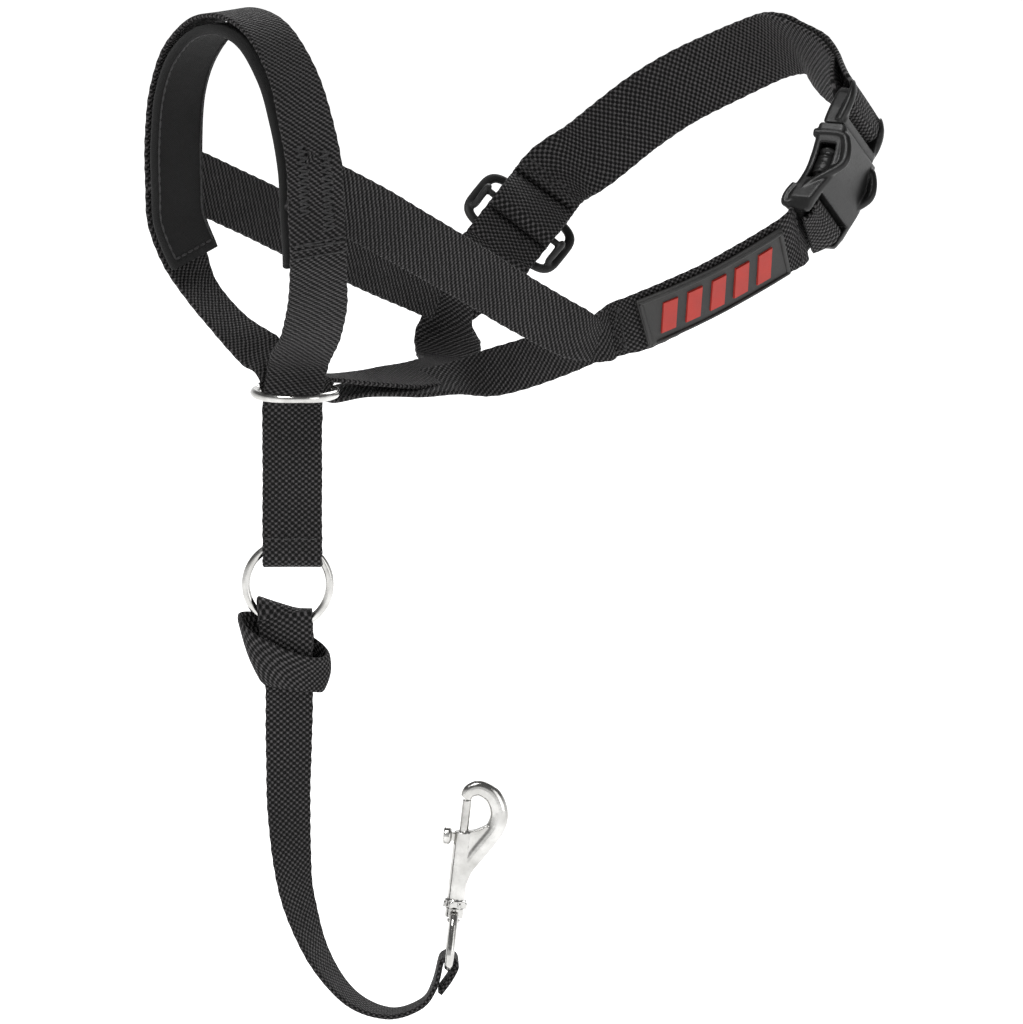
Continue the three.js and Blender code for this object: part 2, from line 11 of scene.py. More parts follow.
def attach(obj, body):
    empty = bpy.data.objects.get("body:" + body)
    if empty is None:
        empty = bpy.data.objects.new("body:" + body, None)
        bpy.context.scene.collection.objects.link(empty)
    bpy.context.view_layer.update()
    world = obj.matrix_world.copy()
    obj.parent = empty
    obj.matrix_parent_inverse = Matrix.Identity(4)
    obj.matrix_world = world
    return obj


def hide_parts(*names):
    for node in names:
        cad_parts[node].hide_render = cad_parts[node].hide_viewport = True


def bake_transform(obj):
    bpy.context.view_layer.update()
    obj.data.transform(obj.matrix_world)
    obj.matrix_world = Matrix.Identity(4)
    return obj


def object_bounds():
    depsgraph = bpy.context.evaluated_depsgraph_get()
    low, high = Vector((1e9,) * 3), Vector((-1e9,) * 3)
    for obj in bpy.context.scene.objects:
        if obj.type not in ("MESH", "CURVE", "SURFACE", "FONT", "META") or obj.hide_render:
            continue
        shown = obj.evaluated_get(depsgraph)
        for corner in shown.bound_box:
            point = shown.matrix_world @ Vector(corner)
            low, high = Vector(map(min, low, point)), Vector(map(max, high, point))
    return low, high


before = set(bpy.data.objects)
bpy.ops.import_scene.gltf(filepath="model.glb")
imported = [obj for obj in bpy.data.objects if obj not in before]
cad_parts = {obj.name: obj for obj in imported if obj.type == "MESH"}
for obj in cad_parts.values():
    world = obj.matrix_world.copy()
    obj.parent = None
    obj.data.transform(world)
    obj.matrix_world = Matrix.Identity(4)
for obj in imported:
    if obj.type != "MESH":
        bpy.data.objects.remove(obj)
cad_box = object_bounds()

MM = 0.001
WEB = 1.6  # thickness of every webbing
LAYER = 1.9  # from one sewn layer's middle to the next
NOSE_WIDTH = 20
NECK_WIDTH = 25
SAFETY_WIDTH = 16
PAD_WIDTH = 23
PAD_THICK = 3
CHIN = (24, 0, -75)  # the chin ring's centre
TURN = 2 * math.pi


def unit(v):
    v = np.asarray(v, float)
    return v / np.linalg.norm(v, axis=-1, keepdims=True)


# ---- camera ----
CAMERA_TURN = math.radians(-42)
CAMERA_RISE = math.radians(10)
CAMERA_FAR = 12.0
FRAME_WIDTH = 0.341  # what the picture takes in at the object, in metres
SENSOR = 36.0
AIM = (0.0895, -0.1107, -0.09)  # metres to the right, up and towards the camera

turn_cos, turn_sin = math.cos(CAMERA_TURN), math.sin(CAMERA_TURN)
toward = Vector((turn_sin * math.cos(CAMERA_RISE), -turn_cos * math.cos(CAMERA_RISE), math.sin(CAMERA_RISE)))
right = Vector((turn_cos, turn_sin, 0))
up = toward.cross(right)
aim = right * AIM[0] + up * AIM[1] + toward * AIM[2]

camera_data = bpy.data.cameras.new("camera")
camera = bpy.data.objects.new("camera", camera_data)
camera_data.sensor_width = SENSOR
camera_data.lens = SENSOR * CAMERA_FAR / FRAME_WIDTH
camera_data.clip_end = 100
turned_to_aim = Matrix((right, up, toward)).transposed().to_4x4()
camera.matrix_world = Matrix.Translation(aim + toward * CAMERA_FAR) @ turned_to_aim
bpy.context.scene.collection.objects.link(camera)
bpy.context.scene.camera = camera


# ---- frames ----
class Frame:
    """An origin and three axes; y runs along one direction and x lies close to another."""

    def __init__(self, origin, along, across):
        self.origin = np.array(origin, float)
        y = unit(along)
        z = unit(np.cross(across, y))
        self.axes = np.array([np.cross(y, z), y, z])

    def at(self, p):
        """Local places in the object's frame."""
        return self.origin + np.asarray(p, float) @ self.axes

    def way(self, p):
        """Local directions in the object's frame."""
        return np.asarray(p, float) @ self.axes


# HANG faces the camera below the chin ring; BUCKLE and SLIDER lie along the neck strap, y running up it.
HANG = Frame(CHIN, (0.66913, 0.74314, 0), (0.74314, -0.66913, 0))
BUCKLE = Frame((215.5, -55.4, -15.8), (0.533, 0.219, 0.813), (0.7, 0.32, -0.64))
SLIDER = Frame((169.2, 50.6, -41.1), (0.845, 0.219, 0.486), (0.52, -0.61, -0.59))
WORLD = Frame((0, 0, 0), (0, 1, 0), (1, 0, 0))
SNAP_LEAN = math.radians(6.5)
SNAP_AT = (52.9, 0, -173.2)
SNAP = Frame((0, 0, 0), (0, 1, 0), (1, 0, 0))
lean_cos, lean_sin = math.cos(SNAP_LEAN), math.sin(SNAP_LEAN)
SNAP.axes = np.array([HANG.way(w) for w in ((lean_cos, 0, -lean_sin), (0, 1, 0), (lean_sin, 0, lean_cos))])
SNAP.origin = HANG.at(SNAP_AT)


# ---- webbing ----
def station(at, across, fill=1.0):
    """One place on a strap's route: its middle, the direction of its width and how much of the width it fills."""
    return (np.array(at, float), np.array(across, float), fill)


def inside(frame_, at, across, fill=1.0):
    """A station given in a local frame."""
    return station(frame_.at(at), frame_.way(across), fill)


def fold(frame_, centre, radius, first, last, side, rise, across, fill, count):
    """Stations round a bar, from the angle first to last in degrees, measured from side towards rise."""
    centre, side, rise = (np.array(v, float) for v in (centre, side, rise))
    stations = []
    for i in range(count + 1):
        angle = math.radians(first + (last - first) * i / count)
        at = centre + radius * (side * math.cos(angle) + rise * math.sin(angle))
        stations.append(inside(frame_, at, across, fill))
    return stations


def spline(points, t):
    """Position and slope of a uniform Catmull-Rom curve at t, counted in points."""
    points = np.asarray(points, float)
    low = np.clip(np.floor(t).astype(int), 0, len(points) - 2)
    w = (t - low)[:, None]
    padded = np.vstack([2 * points[0] - points[1], points, 2 * points[-1] - points[-2]])
    p0, p1, p2, p3 = (padded[low + k] for k in range(4))
    a, b = 0.5 * (p2 - p0), 0.5 * (p3 - p1)
    c2, c3 = 3 * (p2 - p1) - 2 * a - b, 2 * (p1 - p2) + a + b
    return p1 + w * (a + w * (c2 + w * c3)), a + w * (2 * c2 + 3 * w * c3)


def read_at(s, at, table):
    """The rows of a table at s, where at says how far along each row lies."""
    return np.stack([np.interp(s, at, table[:, k]) for k in range(3)], -1)


class Strap:
    """Webbing laid along stations: rings a fixed step apart, each with its middle, width and lift directions."""

    STEP = 0.7

    def __init__(self, stations, width, thick=WEB, lift=0.0, first=0, last=None):
        t = np.linspace(first, len(stations) - 1 if last is None else last, 60 * len(stations))
        at, slope = spline([s[0] for s in stations], t)
        across, _ = spline([s[1] for s in stations], t)
        fills = np.interp(t, np.arange(len(stations)), [s[2] for s in stations])
        slope = unit(slope)
        across = unit(across - slope * (across * slope).sum(1)[:, None])
        at = at + np.cross(slope, across) * lift
        run = np.concatenate([[0], np.cumsum(np.linalg.norm(np.diff(at, axis=0), axis=1))])
        count = max(4, int(round(run[-1] / self.STEP)))
        self.s = np.linspace(0, run[-1], count + 1)
        self.t = np.interp(self.s, run, t)
        self.at = read_at(self.s, run, at)
        self.slope = unit(read_at(self.s, run, slope))
        self.across = unit(read_at(self.s, run, across))
        self.lift = unit(np.cross(self.slope, self.across))
        self.fill = np.interp(self.s, run, fills)
        self.width, self.thick, self.length = width, thick, run[-1]

    def s_at(self, t):
        """How far along the strap station t lies."""
        return float(np.interp(t, self.t, self.s))

    def point(self, s, x, lift=0.0):
        """Places on the strap: s along it, x across it and lift off its middle, in millimetres."""
        s, x = np.asarray(s, float), np.asarray(x, float)
        middle, across, up_ = (read_at(s, self.s, table) for table in (self.at, self.across, self.lift))
        fill = np.interp(s, self.s, self.fill)
        return middle + across * (x * fill)[..., None] + up_ * np.asarray(lift)[..., None]


def mesh_object(name, vertices, faces, material, uvs=None, smooth=True):
    """A mesh in metres from places in millimetres; uvs, one for each place, are in millimetres of cloth."""
    mesh = bpy.data.meshes.new(name)
    mesh.from_pydata([tuple(v) for v in (np.asarray(vertices) * MM).tolist()], [], faces)
    if uvs is not None:
        layer = mesh.uv_layers.new(name="weave")
        index = np.zeros(len(mesh.loops), int)
        mesh.loops.foreach_get("vertex_index", index)
        layer.data.foreach_set("uv", np.asarray(uvs)[index].ravel())
    mesh.polygons.foreach_set("use_smooth", [smooth] * len(mesh.polygons))
    mesh.materials.append(material)
    mesh.update()
    obj = bpy.data.objects.new(name, mesh)
    bpy.context.scene.collection.objects.link(obj)
    return obj


def skin_faces(rings, sides):
    """Quads between rings of places, each ring closed round."""
    faces = []
    for a in range(0, (rings - 1) * sides, sides):
        for j in range(sides):
            k = (j + 1) % sides
            faces.append((a + j, a + k, a + sides + k, a + sides + j))
    return faces


SCALLOP = 4.6  # a weft yarn's repeat along the selvedge
COLUMNS = 19  # places across one face
UNDERSIDE_SHIFT = 0.4  # the weave's shift from one face to the other


def webbing(name, strap, material, seed, edge=0.22):
    """A woven strap: rounded selvedges with a slight scallop, a soft uneven face, and cut ends."""
    rng = np.random.default_rng(seed)
    half, thick = strap.width / 2, strap.thick / 2
    rounding = thick * 0.9
    arc = np.radians([60, 30, 0, -30, -60])
    top_x = np.linspace(-half + rounding, half - rounding, COLUMNS)
    right_x, right_y = half - rounding + rounding * np.cos(arc), thick * np.sin(arc)
    x = np.concatenate([top_x, right_x, top_x[::-1], -right_x[::-1]])
    y = np.concatenate([np.full(COLUMNS, thick), right_y, np.full(COLUMNS, -thick), right_y[::-1]])
    s = strap.s
    phase = rng.uniform(0, TURN, 6)
    sway = 0.12 * np.sin(s / 9.0 + phase[0]) + 0.08 * np.sin(s / 4.1 + phase[1])
    scallop_r, scallop_l = (edge * (0.5 + 0.5 * np.sin(TURN * s / SCALLOP + p)) ** 0.7 for p in phase[2:4])
    across, along = x[None, :], s[:, None]
    xs = across + np.where(across > half - rounding, -scallop_r[:, None], 0)
    xs = xs + np.where(across < -half + rounding, scallop_l[:, None], 0) + sway[:, None] * 0.5
    ripple = 0.10 * np.sin(along / 5.3 + across / 6.1 + phase[4])
    ripple = ripple + 0.07 * np.sin(along / 2.9 - across / 4.3 + phase[5])
    ys = y[None, :] + ripple * 0.6
    places = strap.point(np.repeat(along, len(x), 1), xs, ys)
    rings, m = len(s), len(x)
    faces = skin_faces(rings, m)
    faces.append(tuple(range(m))[::-1])
    faces.append(tuple((rings - 1) * m + j for j in range(m)))
    around = x + np.where(y < 0, UNDERSIDE_SHIFT, 0)
    uvs = np.stack([np.repeat(around[None, :], rings, 0).ravel(), np.repeat(along, m, 1).ravel()], 1)
    obj = mesh_object(name, places.reshape(-1, 3), faces, material, uvs)
    for polygon in obj.data.polygons[-2:]:
        polygon.use_smooth = False
    return obj


# ---- stitches ----
def capsule():
    """One stitch's shape: a ball of radius 1, its poles along x."""
    sides, rings = 6, 5
    points = []
    for i in range(rings + 1):
        a = math.pi * i / rings
        for j in range(sides):
            b = 2 * math.pi * j / sides
            points.append((-math.cos(a), math.sin(a) * math.cos(b), math.sin(a) * math.sin(b)))
    return np.array(points), skin_faces(rings + 1, sides)


THREAD_HALF = 0.42
STITCH_ARCH = 0.1  # how far a stitch's middle stands above its ends
STITCH_DIVE = 0.12  # how far its ends dip into the cloth


def stitches(name, strap, runs, top, length=2.1, gap=0.8):
    """Thread laid on a strap along runs of (s, x) points; top is the lift of the face that it lies on."""
    base, base_faces = capsule()
    vertices, faces, uvs = [], [], []
    sign = 1 if top > 0 else -1
    for run in runs:
        run = np.array(run, float)
        for (s0, x0), (s1, x1) in zip(run[:-1], run[1:]):
            span = math.hypot(s1 - s0, x1 - x0)
            count = max(1, int(round(span / (length + gap))))
            for i in range(count):
                f0, f1 = i / count, (i + length / (length + gap)) / count
                if count == 1:
                    f0, f1 = 0.0, 1.0
                a = strap.point(s0 + (s1 - s0) * f0, x0 + (x1 - x0) * f0, top)
                b = strap.point(s0 + (s1 - s0) * f1, x0 + (x1 - x0) * f1, top)
                s_mid, x_mid = s0 + (s1 - s0) * (f0 + f1) / 2, x0 + (x1 - x0) * (f0 + f1) / 2
                middle = strap.point(s_mid, x_mid, top + STITCH_ARCH * sign)
                normal = unit(strap.point(s0, x0, top + sign) - strap.point(s0, x0, top))
                along = unit(b - a)
                side = unit(np.cross(normal, along))
                half = np.linalg.norm(b - a) / 2 + THREAD_HALF * 0.5
                shape = (
                    middle
                    + base[:, :1] * along * half
                    + base[:, 1:2] * side * THREAD_HALF
                    + base[:, 2:3] * normal * THREAD_HALF * 0.9
                )
                shape = shape - normal * STITCH_DIVE * (base[:, :1] ** 2)
                offset = len(vertices)
                vertices.extend(shape.tolist())
                uvs.extend([(p[0] * half, p[1]) for p in base.tolist()])
                faces.extend([tuple(offset + q for q in f) for f in base_faces])
    return mesh_object(name, vertices, faces, THREAD, uvs)


def zigzag(s0, s1, x0, x1, pitch=1.1):
    """A bar-tack: thread running back and forth between x0 and x1 from s0 to s1."""
    count = max(2, int(round(abs(s1 - s0) / pitch)))
    return [(s0 + (s1 - s0) * i / count, x0 if i % 2 == 0 else x1) for i in range(count + 1)]


# ---- node materials ----
class Nodes:
    """A material being built; each method adds a node and gives its output."""

    def __init__(self, name):
        self.material = bpy.data.materials.new(name)
        self.material.use_nodes = True
        self.tree = self.material.node_tree
        self.shader = self.tree.nodes["Principled BSDF"]

    def new(self, kind, **settings):
        node = self.tree.nodes.new(kind)
        for key, value in settings.items():
            setattr(node, key, value)
        return node

    def feed(self, socket, value):
        if isinstance(value, bpy.types.NodeSocket):
            self.tree.links.new(value, socket)
        else:
            socket.default_value = value

    def math(self, operation, a, b=0.0, c=0.0):
        node = self.new("ShaderNodeMath", operation=operation)
        for socket, value in zip(node.inputs, (a, b, c)):
            self.feed(socket, value)
        return node.outputs[0]

    def times(self, a, b):
        return self.math("MULTIPLY", a, b)

    def plus(self, a, b):
        return self.math("ADD", a, b)

    def wave(self, value, length):
        return self.math("SINE", self.times(value, TURN / length))

    def cloth(self):
        """Millimetres across and along the cloth."""
        parts = self.new("ShaderNodeSeparateXYZ")
        self.feed(parts.inputs[0], self.new("ShaderNodeUVMap", uv_map="weave").outputs[0])
        return parts.outputs[0], parts.outputs[1]

    def noise(self, scale, detail=2.0, vector=None, rough=0.5):
        node = self.new("ShaderNodeTexNoise")
        node.inputs["Scale"].default_value = scale
        node.inputs["Detail"].default_value = detail
        node.inputs["Roughness"].default_value = rough
        if vector is None:
            vector = self.new("ShaderNodeTexCoord").outputs["Object"]
        self.feed(node.inputs["Vector"], vector)
        return node.outputs["Fac"]

    def ramp(self, value, low, high, out_low=0.0, out_high=1.0):
        """value taken from low..high to out_low..out_high, and held at those ends."""
        node = self.new("ShaderNodeMapRange")
        for socket, v in zip(node.inputs, (value, low, high, out_low, out_high)):
            self.feed(socket, v)
        return node.outputs[0]

    def mix(self, share, a, b):
        node = self.new("ShaderNodeMix", data_type="RGBA")
        self.feed(node.inputs["Factor"], share)
        self.feed(node.inputs[6], a)
        self.feed(node.inputs[7], b)
        return node.outputs[2]

    def bump(self, height, distance, strength=1.0, normal=None):
        node = self.new("ShaderNodeBump")
        node.inputs["Strength"].default_value = strength
        node.inputs["Distance"].default_value = distance
        self.feed(node.inputs["Height"], height)
        if normal is not None:
            self.feed(node.inputs["Normal"], normal)
        return node.outputs[0]

    def set(self, **values):
        """Feeds the shader's sockets, named with _ for each space."""
        for key, value in values.items():
            self.feed(self.shader.inputs[key.replace("_", " ")], value)


def weave(name, kind):
    """Nylon webbing, its colour darker in the weave's hollows as painted shade and paler on the raised yarn as
    painted highlight. kind is dots (staggered), or twill (diagonal ribs crossed by picks).
    """
    n = Nodes(name)
    across, along = n.cloth()
    wander = n.times(n.math("SUBTRACT", n.noise(420, 2), 0.5), 0.55)
    drift = n.times(n.math("SUBTRACT", n.noise(60, 1), 0.5), 0.9)
    u = n.plus(across, wander)
    v = n.plus(n.plus(along, drift), wander)
    if kind == "dots":
        a = n.wave(u, 2.2)
        b = n.wave(v, 1.9)
        height = n.ramp(n.times(a, b), -0.3, 0.6)
    else:
        diagonal = n.plus(n.times(u, TURN / 2.3), n.times(v, TURN / 2.0))
        rib = n.math("SINE", diagonal)
        slant = n.math("SUBTRACT", n.times(v, TURN / 1.15), n.times(u, TURN / 3))
        cross = n.math("SINE", slant)
        height = n.ramp(n.plus(rib, n.times(cross, 0.6)), -0.7, 1.1)
    yarn = n.noise(2600, 2)
    wear = n.noise(28, 3)
    # The colour follows the weave's relief: painted shade in the hollows and painted highlight on the raised yarn,
    # varied at random by the yarn and wear noise.
    shown = n.times(height, n.ramp(yarn, 0.3, 0.7, 0.75, 1.1))
    shown = n.times(shown, n.ramp(wear, 0.3, 0.7, 0.8, 1.15))
    # dark is the painted shade of the hollows, light the painted highlight on the raised yarn.
    dark, light = ((grey, grey * 0.95, grey * 0.97, 1) for grey in (0.0012, 0.075))
    fibres = n.plus(height, n.times(yarn, 0.25))
    n.set(
        Base_Color=n.mix(shown, dark, light),
        Roughness=n.ramp(shown, 0, 1, 0.8, 0.52),
        Normal=n.bump(fibres, 0.0009),
        Specular_IOR_Level=0.16,
        Sheen_Weight=0.03,
        Sheen_Roughness=0.4,
    )
    return n.material


def thread_material():
    """Twisted black thread."""
    n = Nodes("thread")
    twist = n.new("ShaderNodeTexWave", wave_type="BANDS", bands_direction="DIAGONAL")
    twist.inputs["Scale"].default_value = 2.2
    n.feed(twist.inputs["Vector"], n.new("ShaderNodeUVMap", uv_map="weave").outputs[0])
    grain = n.noise(900, 2)
    tone = n.times(twist.outputs["Fac"], grain)
    n.set(
        Base_Color=n.mix(tone, (0.008, 0.008, 0.008, 1), (0.11, 0.105, 0.108, 1)),
        Roughness=n.ramp(grain, 0.3, 0.7, 0.4, 0.6),
        Normal=n.bump(twist.outputs["Fac"], 0.0001),
    )
    return n.material


def knit_material():
    """Neoprene's knitted face: rows of loops under a fuzz."""
    n = Nodes("neoprene_knit")
    across, along = n.cloth()
    u = n.plus(across, n.times(n.noise(500, 2), 0.3))
    wale = n.wave(u, 0.8)
    course = n.wave(along, 0.7)
    loops = n.times(wale, course)
    fuzz = n.noise(3000, 3)
    cloud = n.noise(45, 3)
    height = n.plus(n.times(loops, 0.4), fuzz)
    tone = n.times(n.ramp(height, 0.1, 0.9), n.ramp(cloud, 0.3, 0.7, 0.7, 1.1))
    n.set(
        Base_Color=n.mix(tone, (0.003, 0.003, 0.003, 1), (0.015, 0.015, 0.015, 1)),
        Specular_IOR_Level=0.25,
        Roughness=n.ramp(cloud, 0.3, 0.7, 0.82, 0.95),
        Normal=n.bump(height, 0.00015),
        Sheen_Weight=0.04,
        Sheen_Roughness=0.5,
    )
    return n.material


def plastic_material(name, low, high, gloss):
    """Moulded plastic between the greys low and high, scuffed, and paler along its edges."""
    n = Nodes(name)
    grain = n.noise(1500, 3)
    flow = n.noise(70, 3)
    scuff = n.ramp(n.noise(240, 6, rough=0.7), 0.56, 0.72)
    pointed = n.ramp(n.new("ShaderNodeNewGeometry").outputs["Pointiness"], 0.5, 0.58)
    worn = n.plus(n.times(scuff, 0.35), n.times(pointed, 0.4))
    tone = n.plus(n.times(flow, 0.4), worn)
    n.set(
        Base_Color=n.mix(tone, (low, low, low, 1), (high, high, high, 1)),
        Roughness=n.ramp(n.plus(grain, worn), 0.4, 1.3, gloss, gloss + 0.25),
        Specular_IOR_Level=0.3,
        Normal=n.bump(grain, 0.00004, 0.6, n.bump(flow, 0.0002, 0.5)),
    )
    return n.material


def rubber_material(name, colour, deep):
    """Matt rubber, patchy between two colours."""
    n = Nodes(name)
    grain = n.noise(2200, 2)
    patchy = n.noise(110, 4)
    n.set(
        Base_Color=n.mix(n.ramp(patchy, 0.3, 0.75), (*deep, 1), (*colour, 1)),
        Roughness=n.ramp(n.plus(grain, patchy), 0.6, 1.4, 0.42, 0.65),
        Normal=n.bump(grain, 0.00006, 0.8, n.bump(patchy, 0.0002, 0.4)),
    )
    return n.material


def nickel_material():
    """Nickel plate: its colour mottled with painted reflection, darker patches standing for reflected dark
    streaks, with fine scratches and a casting ripple in its bump.
    """
    n = Nodes("nickel_plate")
    cast_ripple_and_painted_reflection = n.noise(130, 4)
    fine = n.noise(1300, 3)
    stretched = n.new("ShaderNodeMapping")
    stretched.inputs["Scale"].default_value = (1, 1, 0.06)
    n.feed(stretched.inputs["Vector"], n.new("ShaderNodeTexCoord").outputs["Object"])
    scratch = n.noise(900, vector=stretched.outputs[0])
    n.set(
        # The mottle between the two greys is painted reflection: the darker patches stand in for dark streaks
        # reflected in the polished plate.
        Base_Color=n.mix(n.ramp(cast_ripple_and_painted_reflection, 0.35, 0.7), (0.62, 0.615, 0.6, 1), (0.38, 0.375, 0.36, 1)),
        Metallic=1.0,
        Roughness=n.ramp(n.plus(scratch, fine), 0.7, 1.3, 0.1, 0.24),
        Normal=n.bump(fine, 0.00003, 0.7, n.bump(cast_ripple_and_painted_reflection, 0.00035, 0.35)),
    )
    return n.material


TWILL = weave("webbing_twill", "twill")
DOTS = weave("webbing_dots", "dots")
THREAD = thread_material()
KNIT = knit_material()
PLASTIC = plastic_material("moulded_plastic", 0.004, 0.016, 0.32)
SATIN = plastic_material("satin_plastic", 0.006, 0.022, 0.5)
RUBBER = rubber_material("patch_rubber", (0.02, 0.019, 0.018), (0.008, 0.008, 0.008))
RED = rubber_material("red_rubber", (0.4, 0.022, 0.012), (0.3, 0.016, 0.01))
NICKEL = nickel_material()


# ---- routes ----
FORE = (1, 0, 0)
BACK = (-1, 0, 0)
FACING = (0.743, -0.669, 0)
LOOP_HALF = 36.5  # half the nose loop's width, at the webbing's middle
NEAR_HALF = LOOP_HALF + 0.6
PULL_SHIFT = -1
PULL_FOLD = -54.2
PULL_FOLD_RADIUS = 3.8
PULL_LAYER = ((1.1, -3), (1.1, -18), (1.3, -38), (3, -48))  # its distance from the middle, and its z


def pull_side(side):
    """One of the pull strap's two layers, from the chin ring down."""
    return [inside(HANG, (PULL_SHIFT, out * side, z), FORE) for out, z in PULL_LAYER]


# The near side is turned a little outward, so that it shows its whole width from the front.
near_nose = [
    station((21, -4.6, -66.5), FACING),
    station((18, -9.6, -61), FACING, 1.03),
    station((13.8, -19, -53), (0.86, -0.5, 0), 1.05),
    station((9, -27.5, -42), (0.9, -0.44, 0), 1.05),
    station((4.5, -33.4, -31), (0.92, -0.4, 0)),
    station((1.2, -NEAR_HALF, -19), (0.93, -0.37, 0)),
    station((0.2, -NEAR_HALF, -7), (0.93, -0.37, 0)),
    station((0, -36.4, 8), (0.94, -0.34, 0)),
    station((0, -31.9, 23.9), (0.97, -0.24, 0)),
    station((0, -25.5, 38), (0.99, -0.1, 0)),
    station((0, -14, 50.2), FORE),
]
far_nose = [
    station((21, 2.6, -66.5), FACING),
    station((17.4, 10.6, -61.4), (0.93, -0.36, 0), 0.94),
    station((12.8, 20.2, -53.2), (0.99, 0.1, 0), 0.94),
    station((8, 28.8, -42.4), (0.985, 0.17, 0), 0.94),
    station((4.5, 33.4, -31), FORE),
    *[station((x, LOOP_HALF, z), FORE) for x, z in ((1.2, -19), (0.2, -7), (0, 8))],
    *[station((0, y, z), FORE) for y, z in ((34.5, 25), (28, 39.8), (15.5, 51.3))],
]
nose_route = [*near_nose, station((0, 0.5, 54.7), FORE), *far_nose[::-1]]
pull_fold = fold(HANG, (PULL_SHIFT, 0, PULL_FOLD), PULL_FOLD_RADIUS, 180, 360, (0, 1, 0), (0, 0, 1), FORE, 1, 8)
band_route = [*pull_fold[4::-1], *pull_side(-1)[::-1], *nose_route, *pull_side(1), *pull_fold[:3:-1]]
BAND_NOSE = 5 + len(PULL_LAYER)  # the nose route's first station, counted in the band's

# How far the sewn layers' middles lie from the halter's middle plane.
UNDER_BAND = LOOP_HALF - LAYER
NEAR_NECK = -41
NEAR_JAW = NEAR_NECK - LAYER
NEAR_CHEEK = NEAR_JAW - LAYER
FAR_CHEEK = 38.4
FAR_JAW = FAR_CHEEK + LAYER + 0.2
FAR_NECK = FAR_JAW + LAYER + 0.7

NEAR_LEAN = (0.464, -0.245, 0.851)
near_cheek = [
    station((-6, -UNDER_BAND, 4), (0.45, -0.1, 0.88), 1.06),
    station((8, -UNDER_BAND, -2.2), (0.46, -0.15, 0.88), 1.06),
    station((30, -36.5, -13.8), NEAR_LEAN, 1.04),
    station((60, -39.7, -31.2), NEAR_LEAN, 0.98),
    station((90, -42.8, -49), NEAR_LEAN, 0.94),
    station((108, NEAR_CHEEK - 0.5, -59), (0.46, -0.2, 0.86), 0.9),
    station((118, NEAR_CHEEK, -62.9), (0.42, -0.06, 0.9), 0.68),
]
far_cheek_line = [
    (-6, UNDER_BAND, 1),
    (8, UNDER_BAND, -5.4),
    (30, 35.2, -15.7),
    (60, 36.2, -29.6),
    (90, 37.4, -43),
    (110, FAR_CHEEK - 0.2, -51.6),
    (123, FAR_CHEEK, -57.2),
]
far_cheek = [station(at, (0.42, 0, 0.91)) for at in far_cheek_line]
GATHERED = 0.66  # the jaw strap's fill where it is drawn in round the chin ring
jaw_route = [
    station((126, NEAR_JAW, -61.4), (-0.5, 0, 0.86), 0.92),
    station((121.5, NEAR_JAW, -62.6), (-0.5, 0, 0.86), 0.88),
    station((117.5, -39.5, -64.2), (-0.42, 0.1, 0.9), 0.78),
    station((113, -30, -68.4), (-0.2, 0.25, 0.94), 0.8),
    station((105, -16, -74.2), (0, 0.6, 0.8), 0.86),
    station((92, -5.5, -77.5), (0, 0.93, 0.36), 0.94),
    station((70, -1.5, -78), (0, 0.97, 0.2), 0.98),
    station((50, 0, -77.4), (0, 1, 0.06), 0.84),
    *fold(WORLD, (36.8, 0, -75), 3.4, -90, -270, (1, 0, 0), (0, 0, 1), (0, 1, 0), GATHERED, 6),
    station((50, 0, -73.6), (0, 1, 0.06), 0.84),
    station((70, 1, -75.6), (0, 0.97, 0.2), 0.98),
    station((92, 5, -76.8), (-0.1, 0.95, 0.3)),
    station((107, 15, -78), (-0.35, 0.9, 0.25)),
    station((118.5, 29, -78), (-0.75, 0.65, 0.1), 1.1),
    station((125.2, 37.4, -73.6), (-0.88, 0.46, 0), 1.14),
    station((128.4, FAR_JAW, -67), (-0.98, 0.04, 0.2), 1.08),
    station((131.5, FAR_JAW, -58), (-0.97, 0, 0.24)),
]

near_neck = [
    station((122.5, NEAR_NECK, -62.8), (-0.36, 0, 0.93), 0.66),
    station((131, NEAR_NECK, -60.6), (-0.38, 0, 0.92), 0.78),
    station((139, -45.4, -58), (-0.44, -0.06, 0.88), 0.86),
    station((162, -54.8, -48.3), (-0.5, -0.2, 0.84), 0.89),
    station((187.6, -61.7, -36.2), (-0.53, -0.22, 0.82), 0.9),
    inside(BUCKLE, (-1.4, -21.6, -5.6), BACK, 0.86),
    *fold(BUCKLE, (0, -17, -0.9), 2.7, -75, 90, (0, 1, 0), (0, 0, 1), BACK, 0.98, 6),
    inside(BUCKLE, (0, -20.4, 0.6), BACK, 0.92),
    inside(BUCKLE, (-1, -24.4, -2.9), BACK, 0.82),
]
PATCH_FROM = 1.9  # the patch's ends, counted in near_neck's stations
PATCH_TO = 3.9

far_neck = [
    station((123.5, FAR_NECK, -63.6), (-0.48, 0, 0.87), 0.94),
    station((137, FAR_NECK + 0.6, -57.6), (-0.5, 0.15, 0.85)),
    *[inside(SLIDER, (0, y, 0), BACK) for y in (-18.5, -12, 0, 12, 26.5)],
    station((204.2, 54.4, -21.8), (-0.3, 0.4, 0.86)),
    station((219.5, 48.6, -10.6), (-0.12, 0.34, 0.94)),
    station((231, 38.4, -0.4), (-0.12, 0.32, 0.94)),
    station((239.2, 25, 8.4), (-0.24, 0.1, 0.95), 0.96),
    station((243.7, 8, 16.9), (-0.386, -0.209, 0.899), 0.95),
    station((242.1, -7, 20.2), (-0.56, -0.1, 0.82), 0.93),
    station((239.8, -18.2, 17.6), (-0.4, -0.02, 0.91), 0.96),
    station((237.9, -29, 14.2), (-0.3, 0.02, 0.95), 1.03),
    station((235.5, -39.7, 10.2), (-0.44, -0.08, 0.89)),
    inside(BUCKLE, (0, 27.6, 3.2), BACK, 1.04),
]
RETURN_LIFT = 2.5
